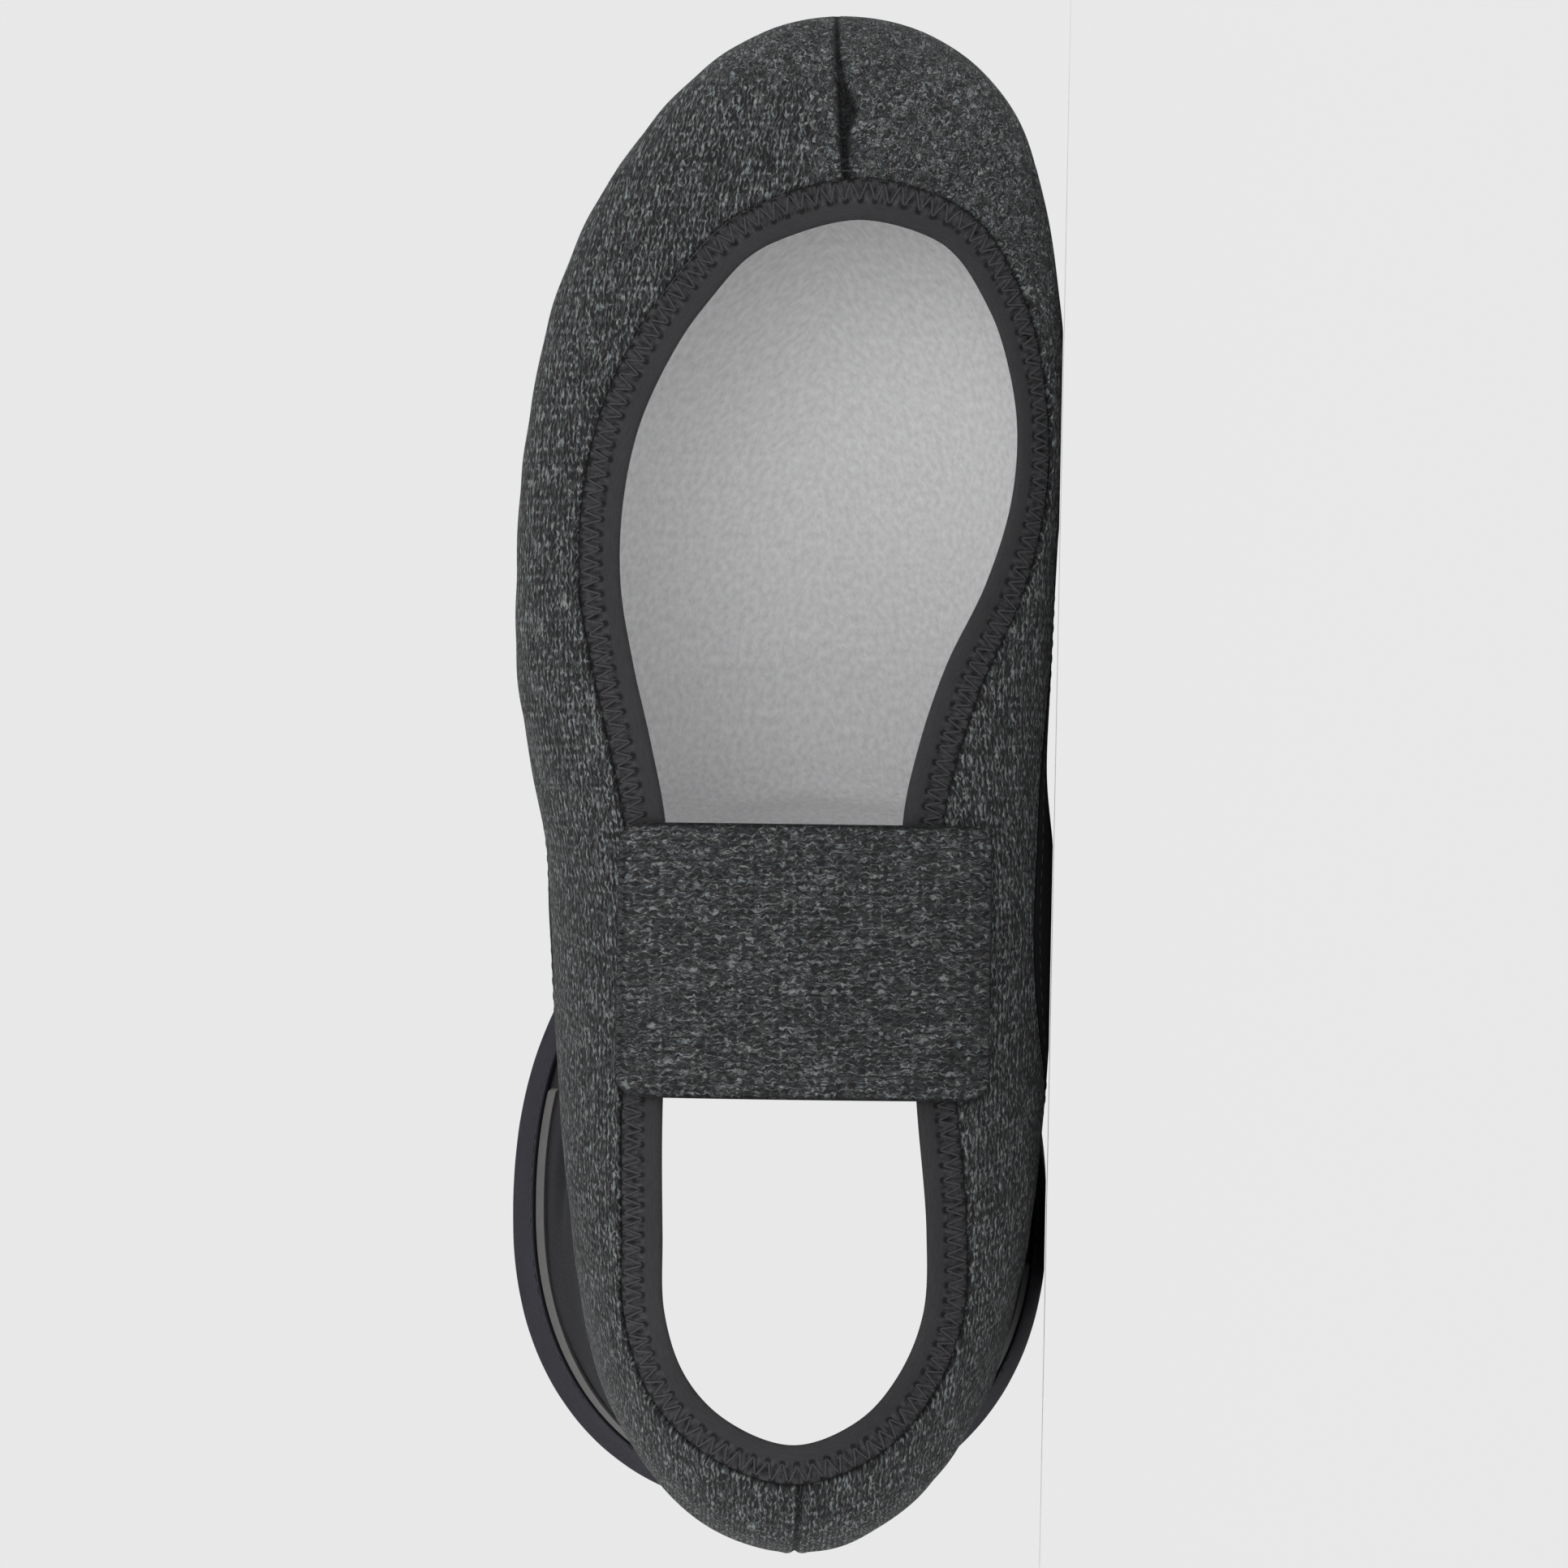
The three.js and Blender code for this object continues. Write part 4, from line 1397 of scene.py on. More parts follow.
@dataclass
class KnitBody:
    """The knitted body: toe, sides, heel and the flange that turns under round the cut-out."""

    shop: Workshop
    columns: int = 58
    unevenness: float = 0.14
    lap_lift: float = 0.35
    heel_groove: float = 0.38
    heel_groove_width: float = 0.5
    # The toe dart along the foot: its place across, how deep its lower half sinks and how wide.
    dart_x: tuple[float, ...] = (250.0, 256.0, 262.0, 268.0, 271.0, 277.0, 283.0, 292.0)
    dart_y: tuple[float, ...] = (9.5, 9.4, 8.9, 8.4, 8.3, 8.1, 7.9, 7.9)
    dart_depth: tuple[float, ...] = (1.7, 1.7, 1.7, 1.9, 2.0, 1.3, 0.8, 0.4)
    dart_width: tuple[float, ...] = (1.2, 1.2, 1.3, 2.0, 3.8, 1.5, 0.6, 0.4)

    def dart_places(self, x: Array) -> tuple[Array, Array, Array]:
        """Place across, depth and width of the dart at places along the foot."""
        followed = (self.dart_y, self.dart_depth, self.dart_width)
        return tuple(np.interp(x, self.dart_x, values) for values in followed)

    def turn_at(self, k: float, y: float) -> float:
        """Where a section's underside passes a place across.

        Args:
            k: the section's place.
            y: the place across.

        Returns:
            The turn, signed.
        """
        turns, _, inner = self.shop.last.girth(k, 1)
        _, _, outer = self.shop.last.girth(k, -1)
        low = turns <= 0.25
        if y >= inner[0, 1]:
            return float(np.interp(y, inner[low, 1], turns[low]))
        return -float(np.interp(-y, -outer[low, 1], turns[low]))

    def outset(self, strip: HalfStrip, points: Array, hem: Array, seam: Array) -> Array:
        """How far the outer face stands off the last.

        Args:
            strip: the places.
            points: the points of the last there.
            hem: distances to the cut-out's edge.
            seam: distances to the seam with the softshell.

        Returns:
            The outsets.
        """
        half = self.shop.fabric.knit_wall / 2
        x, y, z = np.moveaxis(points, -1, 0)
        wave = np.sin(x * 0.19 + 1.3) * np.sin((y + z) * 0.21 + 0.4)
        wave = wave + 0.6 * np.sin(x * 0.38 + (y - z) * 0.29)
        # The waves fade out towards the edges and the toe tip.
        far = smoothstep(np.minimum(hem, seam), 2, 9)
        out = self.unevenness * wave * far * smoothstep(strip.along, 6, 25)
        out = out + self.dart(points) + self.heel_seam(points, strip)
        return out - rolled(hem, half) - rolled(seam, half)

    def dart(self, points: Array) -> Array:
        """The lap and the sunk half of the dart seam at the toe.

        Args:
            points: points of the last.

        Returns:
            What they add to the outset.
        """
        y, depth, width = self.dart_places(points[..., 0])
        off = points[..., 1] - y
        below = smoothstep(-points[..., 2], -30, -26) * smoothstep(points[..., 0], 248, 256)
        lap = self.lap_lift * smoothstep(-points[..., 0], -289, -278)
        step = smoothstep(off, 0, 0.35)
        lifted = lap * np.where(off > 0, 1 - step, hump(off, 2.4))
        return below * (lifted - depth * step * (1 - smoothstep(off, 0.75 * width, 1.25 * width + 0.6)))

    def heel_seam(self, points: Array, strip: HalfStrip) -> Array:
        """The thin groove up the middle of the heel, with its two low ridges.

        Args:
            points: points of the last.
            strip: their places.

        Returns:
            What they add to the outset.
        """
        at_heel = smoothstep(-points[..., 0], -40, -25) * smoothstep(strip.k, 16, 17)
        off = np.abs(strip.across)
        groove = self.heel_groove * hump(off, self.heel_groove_width)
        ridge = 0.2 * hump(off - 1.5, 0.8)
        return at_heel * (ridge - groove)

    def build(self) -> None:
        """Builds the body with its lining."""
        shop, last = self.shop, self.shop.last
        wall = shop.fabric.knit_wall
        edge_k, edge_turn, heel = shop.cutout.edges(shop.fabric.binding_width + shop.fabric.seam_gap)
        toe_k, heel_k = float(edge_k[0]), float(edge_k[heel])
        front_k = shop.seam.crossing(0.5, 3.0, 8.0)
        top_k = shop.seam.crossing(0.0, 20.0, 25.0)
        rows = Rows(last).spaced(0.0, top_k, [toe_k, heel_k, front_k, top_k])
        toe_x = float(last.point(np.array(toe_k), np.array(edge_turn[0]))[0])
        branches = {
            1: (edge_k[: heel + 1], edge_turn[: heel + 1]),
            -1: (edge_k[: heel - 1 : -1], edge_turn[: heel - 1 : -1]),
        }
        hole = last.point(edge_k, edge_turn)
        tops = {side: np.array([shop.seam.turn(k, side) for k in rows]) for side in (1, -1)}
        for turns in tops.values():
            turns[rows <= front_k] = 0.5
            turns[-1] = 0.0
        behind = rows >= front_k
        seam_lines = [last.point(rows[behind], side * turns[behind]) for side, turns in tops.items()]

        # The middle line: on the dart at the toe and on the heel seam behind.
        x = last.point(rows, np.zeros_like(rows))[:, 0]
        wanted = self.dart_places(x)[0]
        across = wanted + (hole[0, 1] - wanted) * (1 - smoothstep(x, toe_x, toe_x + 4.0))
        dart = np.array([self.turn_at(k, y) for k, y in zip(rows, across)])
        dart[0] = 0.0
        heel_seam = edge_turn[heel] * (1 - smoothstep(rows, heel_k, heel_k + 0.4))
        middle = np.where(rows >= heel_k, heel_seam, dart)
        cloth = Cloth()
        beside_hole = (rows >= toe_k) & (rows <= heel_k)
        for side, turns in tops.items():
            starts = np.where(beside_hole, np.interp(rows, *branches[side]), middle)
            strip = Rows(last).strip(side, rows, starts, turns, self.columns)
            points = last.point(strip.k, strip.turn)
            hem = nearest(points, hole)
            seam = np.minimum(nearest(points, seam_lines[0]), nearest(points, seam_lines[1]))
            hem[beside_hole, 0] = 0
            seam[behind, -1] = 0
            seam[-1] = 0
            out = self.outset(strip, points, hem, seam)
            normal = last.normal(strip.k, strip.turn)
            lie = vectors(strip.along, strip.across, self.curl(points))
            # The dart's sunk half and slot, and the heel seam, get small marks, which the finish paints dark
            # as shade in the recess; higher up the toe the marks grow, so that shade fades.
            y, _, width = self.dart_places(points[..., 0])
            inside_dart = np.abs(points[..., 1] - y - width / 2) - width / 2 + 0.15
            stitch = np.where(strip.k < toe_k, np.maximum(inside_dart, 0.1), np.abs(strip.across))
            near_seam = np.where((strip.k < toe_k) | (strip.k > heel_k), stitch, FAR)
            near_seam = near_seam + 2 * smoothstep(points[..., 2], 27, 31) * (strip.k < toe_k)
            # Edges start a little way off, which keeps their line of painted shade soft.
            marks = vectors(hem + 0.35, seam + 0.2, near_seam)
            cloth.add(points + normal * out[..., None], lie, marks, 0, side < 0)
            half, border = wall / 2, np.minimum(hem, seam)
            inner = -wall + rolled(hem, half) + rolled(seam, half)
            inner = np.where(border == 0, out, np.minimum(inner, out - np.minimum(border, 0.3)))
            cloth.add(points + normal * inner[..., None], lie, marks, 1, side > 0)
        materials = [shop.finishes.knit, shop.finishes.lining]
        shop.finish("knit_upper", cloth, materials, "knit", "knit_body")

    def curl(self, points: Array) -> Array:
        """Where the yarn shows as curled loops instead of streaks: the inner half of the toe.

        Args:
            points: points of the last.

        Returns:
            The share of the curl.
        """
        x, y = points[..., 0] / self.shop.last.foot_length, points[..., 1] / self.shop.last.ball_width
        toe = smoothstep(x, 0.72, 0.86) * smoothstep(y, -0.05, 0.14)
        tip = 0.75 * smoothstep(x, 0.93, 0.975)
        return np.clip(np.maximum(toe, tip), 0.06, 1)


@dataclass
class Crease:
    """A soft trough with a ridge on each side, through places k and turn."""

    places: tuple[tuple[float, float], ...]
    depth: float
    width: float

    def line(self, last: LastForm) -> Array:
        """Its line, rounded at its places.

        Args:
            last: the form that it lies on.

        Returns:
            Points along it.
        """
        stops = np.arange(len(self.places))
        fine = np.linspace(0, len(self.places) - 1, 50)
        k, turn = (np.interp(fine, stops, values) for values in np.array(self.places).T)
        window = np.hanning(11) / np.hanning(11).sum()
        k, turn = (np.convolve(np.pad(v, 5, mode="edge"), window, "valid") for v in (k, turn))
        return last.point(k, turn)

    def relief(self, points: Array, last: LastForm) -> Array:
        """The trough and its ridges.

        Args:
            points: points of the last.
            last: the form that it lies on.

        Returns:
            What it adds to the outset.
        """
        line = self.line(last)
        gap = nearest(points, line)
        ends = np.minimum(
            np.linalg.norm(points - line[0], axis=-1), np.linalg.norm(points - line[-1], axis=-1)
        )
        taper = smoothstep(ends, 0.5 * self.width, 5 * self.width)
        ridges = 0.55 * hump(gap - 1.7 * self.width, self.width)
        return self.depth * taper * (ridges - hump(gap, self.width))


@dataclass
class SoftshellTop:
    """The softshell over the instep and round the ankle, up to the cuff band."""

    shop: Workshop
    columns: int = 62
    unevenness: float = 0.18
    groove: float = 0.45
    overlap: float = 0.3
    hem_step: float = 14.0
    stitch_inset: float = 2.1
    back_inset: float = 2.0
    # Folds across the bend of the ankle, over the instep, at the sides and above the heel.
    creases: tuple[Crease, ...] = (
        Crease(((15.2, 0.30), (13.8, 0.38), (13.2, 0.5), (13.9, 0.61), (15.4, 0.69)), 1.5, 2.4),
        Crease(((18.4, 0.33), (16.8, 0.41), (16.2, 0.49), (16.9, 0.57)), 1.3, 2.1),
        Crease(((16.5, 0.47), (17.6, 0.58), (19.4, 0.66), (20.6, 0.70)), 1.1, 2.4),
        Crease(((12.9, 0.33), (11.7, 0.42), (11.3, 0.5), (11.9, 0.58)), 1.1, 2.8),
        Crease(((10.0, 0.43), (9.7, 0.51), (10.1, 0.60), (10.8, 0.66)), 0.5, 3.4),
        Crease(((8.2, 0.40), (8.0, 0.48), (8.5, 0.57)), 0.4, 3.8),
        Crease(((24.2, -0.13), (24.6, -0.04), (24.4, 0.05), (23.9, 0.12)), 0.8, 2.6),
        Crease(((25.7, -0.07), (25.4, 0.03), (25.8, 0.14)), 0.6, 2.6),
        Crease(((22.6, 0.17), (22.3, 0.22), (21.2, 0.28), (20.2, 0.31)), 0.7, 3.2),
        Crease(((23.3, -0.18), (22.4, -0.24), (21.0, -0.29), (19.5, -0.32)), 0.8, 3.2),
        Crease(((25.9, -0.22), (24.8, -0.30), (23.4, -0.36)), 0.6, 3.4),
        Crease(((26.4, 0.30), (25.2, 0.36), (23.6, 0.41)), 0.6, 3.2),
    )

    def build(self) -> None:
        """Builds the top with its lining and its stitches."""
        shop, last = self.shop, self.shop.last
        wall, half = shop.fabric.softshell_wall, shop.fabric.softshell_wall / 2
        clearance = -self.overlap
        front_k = shop.seam.crossing(0.5, 3.0, 8.0, clearance)
        top_k = shop.seam.crossing(0.0, 20.0, 25.0, clearance)
        end_k = last.row_below_cuff(shop.fabric.cuff_height + 0.06)
        rows = Rows(last, 1.35).spaced(front_k, end_k, [front_k, top_k])
        lows = {side: np.array([shop.seam.turn(k, side, clearance) for k in rows]) for side in (1, -1)}
        for turns in lows.values():
            turns[rows >= top_k] = 0.0
            turns[0] = 0.5
        beside = rows <= top_k
        seam_lines = [last.point(rows[beside], side * turns[beside]) for side, turns in lows.items()]
        cloth = Cloth()
        front = np.full_like(rows, 0.5)
        for side, turns in lows.items():
            strip = Rows(last).strip(side, rows, side * turns, front, self.columns)
            points = last.point(strip.k, strip.turn)
            seam = np.minimum(nearest(points, seam_lines[0]), nearest(points, seam_lines[1]))
            seam[beside, 0] = 0
            seam[0] = 0
            # How far below the upper end: the sections of the last are about hem_step apart there.
            hem = np.abs(strip.k - end_k) * self.hem_step
            out = self.outset(strip, points, seam) - rolled(seam, half)
            back = np.where(strip.k > top_k, np.abs(strip.across), FAR)
            lie = vectors(strip.along, strip.across, 0)
            # The finish paints a line of shade along the upper end under the cuff band, the seam with the
            # knit and the back seam.
            marks = vectors(hem + 0.5, seam, back + 0.25)
            normal = last.normal(strip.k, strip.turn)
            cloth.add(points + normal * out[..., None], lie, marks, 0, side < 0)
            inner = -wall + rolled(seam, half) + 0.4 * (out + rolled(seam, half))
            inner[seam == 0] = out[seam == 0]
            cloth.add(points + normal * inner[..., None], lie, marks, 1, side > 0)
            # The upper end is closed between the two faces.
            levels = np.stack([out[-1], inner[-1]])[..., None]
            cloth.add(points[-1] + normal[-1] * levels, lie[-1], marks[-1], 0, side < 0)
        materials = [shop.finishes.softshell, shop.finishes.lining]
        shop.finish("softshell_upper", cloth, materials, "softshell", "softshell_top")
        self.stitches(front_k, top_k, end_k, lows, rows)

    def outset(self, strip: HalfStrip, points: Array, seam: Array) -> Array:
        """How far the outer face stands off the last: folds, waves and the back seam's groove.

        Args:
            strip: the places.
            points: the points of the last there.
            seam: distances to the seam with the knitted body.

        Returns:
            The outsets.
        """
        last = self.shop.last
        x, y, z = np.moveaxis(points, -1, 0)
        wave = np.sin((z - x) * 0.07 + 0.8) * np.sin(y * 0.11 + 1.9)
        wave = wave + 0.5 * np.sin((x + z) * 0.15 - y * 0.17)
        calm = smoothstep(seam, 1.0, 10.0)
        out = self.unevenness * wave * calm
        for crease in self.creases:
            out = out + crease.relief(points, last) * smoothstep(seam, 0.8, 8.0)
        at_back = smoothstep(strip.k, 22.5, 22.9)
        off = np.abs(strip.across)
        return out + at_back * (0.16 * hump(off - 1.8, 1.0) - self.groove * hump(off, 0.42))

    def stitches(
        self, front_k: float, top_k: float, end_k: float, lows: dict[int, Array], rows: Array
    ) -> None:
        """Builds the stitch rows beside the seam and beside the seam of the back.

        Args:
            front_k: where the seam starts at the toe.
            top_k: where it ends at the heel.
            end_k: the upper end of the softshell.
            lows: turns of the seam at the rows, by side.
            rows: the rows of the mesh.
        """
        shop, last = self.shop, self.shop.last
        run, step = (rows > front_k) & (rows < top_k), 0.01
        k, beside = rows[run], {}
        for side, turns in lows.items():
            turn = turns[run]
            moved = last.point(k, side * np.minimum(turn + step, 0.5)) - last.point(k, side * turn)
            shift = step * self.stitch_inset / np.maximum(np.linalg.norm(moved, axis=1), 0.05)
            beside[side] = side * np.minimum(turn + shift, 0.5)
        around = (np.concatenate([k[::-1], k]), np.concatenate([beside[1][::-1], beside[-1]]))
        rows_up = np.linspace(top_k + 0.12, end_k - 0.02, 200)
        sides = [
            (rows_up, np.array([self.turn_beside(k, offset) for k in rows_up]))
            for offset in (self.back_inset, -self.back_inset)
        ]
        stitches = StitchRow(shop, pitch=2.9, length=2.1, radius=0.11, outset=-0.02)
        stitches.build("side_seam_stitches", [around])
        stitches.build("back_seam_stitches", sides)

    def turn_beside(self, k: float, offset: float) -> float:
        """The turn at a distance beside the middle of the back, positive on the inner side."""
        turns, lengths, _ = self.shop.last.girth(k, 1 if offset > 0 else -1)
        return math.copysign(np.interp(abs(offset), lengths, turns), offset)


@dataclass
class StitchRow:
    """Rows of single stitches along lines on the last."""

    shop: Workshop
    pitch: float
    length: float
    radius: float
    outset: float

    def build(self, name: str, lines: Sequence[tuple[Array, Array]]) -> None:
        """Builds the rows as one piece.

        Args:
            name: the piece's name.
            lines: places k and turns of each row.
        """
        last = self.shop.last
        cloth = Cloth()
        shares = np.linspace(0, 1, 7)
        for k, turn in lines:
            reached = lengths_along(last.point(k, turn))
            for start in np.arange(self.pitch, reached[-1] - self.pitch, self.pitch):
                at = start + shares * self.length
                places = np.interp(at, reached, k), np.interp(at, reached, turn)
                bow = self.outset + self.radius * (1.7 * np.sin(np.pi * shares) ** 0.6 - 1.3)
                rings = thread(last.layer(*places, bow), self.radius)
                angle = np.linspace(0, 2 * np.pi * self.radius, rings.shape[1])
                cloth.add(rings, vectors(at[:, None], angle[None, :], 0))
        self.shop.finish(name, cloth, [self.shop.finishes.topstitch], "softshell")


@dataclass
class CuffBand:
    """The folded band at the top edge."""

    shop: Workshop
    stations: int = 240
    top_radius: float = 1.5
    foot_radius: float = 0.6
    ripple: float = 0.16
    stitch_line: float = 18.4
    stitch_dip: float = 0.08
    lining_start: float = 4.0

    def profile(self) -> tuple[Array, Array]:
        """The band's section: distances below the rim and outsets, all round.

        Returns:
            Both lists, starting and ending inside at the lower edge.
        """
        fabric = self.shop.fabric
        outer, inner = fabric.cuff_step, fabric.cuff_step - fabric.cuff_wall
        height, r, f = fabric.cuff_height, self.top_radius, self.foot_radius
        fold = np.linspace(0, np.pi, 17)
        corner = np.linspace(0, np.pi / 2, 7)
        runs = (
            (np.full(3, height), np.linspace(inner, outer - f, 4)[:-1]),
            (height - f + f * np.cos(corner), outer - f + f * np.sin(corner)),
            (np.linspace(height - f, r, 30)[1:-1], np.full(28, outer)),
            (r - r * np.sin(fold), (outer + inner) / 2 + r * np.cos(fold)),
            (np.linspace(r, height, 20)[1:], np.full(19, inner)),
        )
        below, level = (np.concatenate(parts) for parts in zip(*runs))
        return below, level

    def build(self) -> None:
        """Builds the band and its row of stitches."""
        shop, last = self.shop, self.shop.last
        below, level = self.profile()
        rows = np.array([last.row_below_cuff(distance) for distance in below])
        turns = np.linspace(-0.5, 0.5, self.stations + 1)
        k, turn = np.meshgrid(rows, turns, indexing="ij")
        rim = last.point(np.full_like(turns, float(last.last_row)), turns)
        around = lengths_along(rim)
        dip = self.stitch_dip * hump(below - self.stitch_line, 0.8)
        outer = level > (shop.fabric.cuff_step - shop.fabric.cuff_wall / 2)
        waves = np.sin(around * 0.37) * np.sin(around * 0.113 + 1.0) + 0.4 * np.sin(around * 0.83 + 2.0)
        fade = smoothstep(below, 0, 6) * smoothstep(shop.fabric.cuff_height - below, 0, 2)
        out = level[:, None] + self.ripple * waves[None] * fade[:, None] * outer[:, None]
        out = out - dip[:, None] * outer[:, None]
        points = last.layer(k, turn, out)
        travelled = lengths_along(np.stack([below, level, np.zeros_like(level)], 1))
        lie = vectors(around[None, :], travelled[:, None], 0)
        # Along the band's lower edge the finish paints a line of shade.
        edge = np.where(outer, shop.fabric.cuff_height - below, FAR)
        marks = vectors(edge[:, None] + 0 * k, FAR, FAR)
        cloth = Cloth()
        inside = int(np.argmin(np.abs(below - self.lining_start) + 100 * outer))
        cloth.add(points[: inside + 1], lie[: inside + 1], marks[: inside + 1], 0, True)
        cloth.add(points[inside:], lie[inside:], marks[inside:], 1, True)
        materials = [shop.finishes.cuff, shop.finishes.lining]
        shop.finish("cuff_fold", cloth, materials, "softshell", "cuff_band")
        ring = np.linspace(-0.5, 0.5, 600)
        line = (np.full_like(ring, last.row_below_cuff(self.stitch_line)), ring)
        level = shop.fabric.cuff_step - 0.06
        StitchRow(shop, pitch=2.8, length=2.1, radius=0.12, outset=level).build("cuff_stitches", [line])


@dataclass
class ReflectiveStrip:
    """The narrow tape with squared ends round the back of the shaft."""

    shop: Workshop
    height: float = 8.0
    below_cuff: float = 1.6
    thickness: float = 0.5
    lateral_end: float = 0.293
    medial_end: float = 0.175
    stations: int = 170

    def end_turn(self, k: float, side: int, at: float) -> float:
        """The turn where one half of a section reaches a place along the foot."""
        turns, _, points = self.shop.last.girth(k, side)
        return float(np.interp(at * self.shop.last.foot_length, points[:, 0], turns))

    def build(self) -> None:
        """Builds the tape."""
        shop, last = self.shop, self.shop.last
        top = shop.fabric.cuff_height + self.below_cuff
        corner = 0.22
        angle = np.linspace(0, np.pi / 2, 5)
        across = np.concatenate(
            [[0.0], corner * (1 - np.cos(angle)), np.linspace(corner, self.height - corner, 9)[1:-1]]
        )
        across = np.concatenate([across, self.height - across[4::-1], [self.height]])
        level = np.full_like(across, self.thickness)
        rise = self.thickness - corner + corner * np.sin(angle)
        level[0], level[-1] = -0.1, -0.1
        level[1:6], level[-6:-1] = rise, rise[::-1]
        ends = np.concatenate([[0, 0.004, 0.01], np.linspace(0.02, 0.98, self.stations), [0.99, 0.996, 1]])
        low = np.array([last.row_below_cuff(top + place) for place in across])
        lateral = np.array([self.end_turn(k, -1, self.lateral_end) for k in low])
        medial = np.array([self.end_turn(k, 1, self.medial_end) for k in low])
        turn = -lateral[:, None] + (lateral + medial)[:, None] * ends[None]
        k = np.repeat(low[:, None], len(ends), axis=1)
        base = last.point(k, turn)
        from_end = np.minimum(
            np.linalg.norm(base - base[:, :1], axis=-1), np.linalg.norm(base - base[:, -1:], axis=-1)
        )
        out = np.minimum(level[:, None], self.thickness * np.sqrt(np.clip(from_end / corner, 0, 1)) - 0.1)
        points = last.layer(k, turn, 0.04 + out)
        along = np.cumsum(np.linalg.norm(np.diff(base, axis=1, prepend=base[:, :1]), axis=-1), axis=1)
        # The tape's finish paints a thin line of shade along its edges and ends.
        edge = np.minimum(np.minimum(across[:, None], self.height - across[:, None]), from_end) + 0.1
        cloth = Cloth()
        lie, marks = vectors(along, across[:, None], 0), vectors(edge, FAR, FAR)
        back = last.layer(k, turn, np.full_like(k, -0.08))
        cloth.add(points, lie, marks, 0, True)
        cloth.add(back, lie, marks, 0, False)
        borders = (
            (points[:, 0], back[:, 0], True),
            (points[:, -1], back[:, -1], False),
            (points[0], back[0], False),
            (points[-1], back[-1], True),
        )
        for front, behind, flip in borders:
            cloth.add(np.stack([front, behind]), 0.0, FAR, 0, flip)
        shop.finish("reflective_tape", cloth, [shop.finishes.tape], "reflective", "reflective_strip")


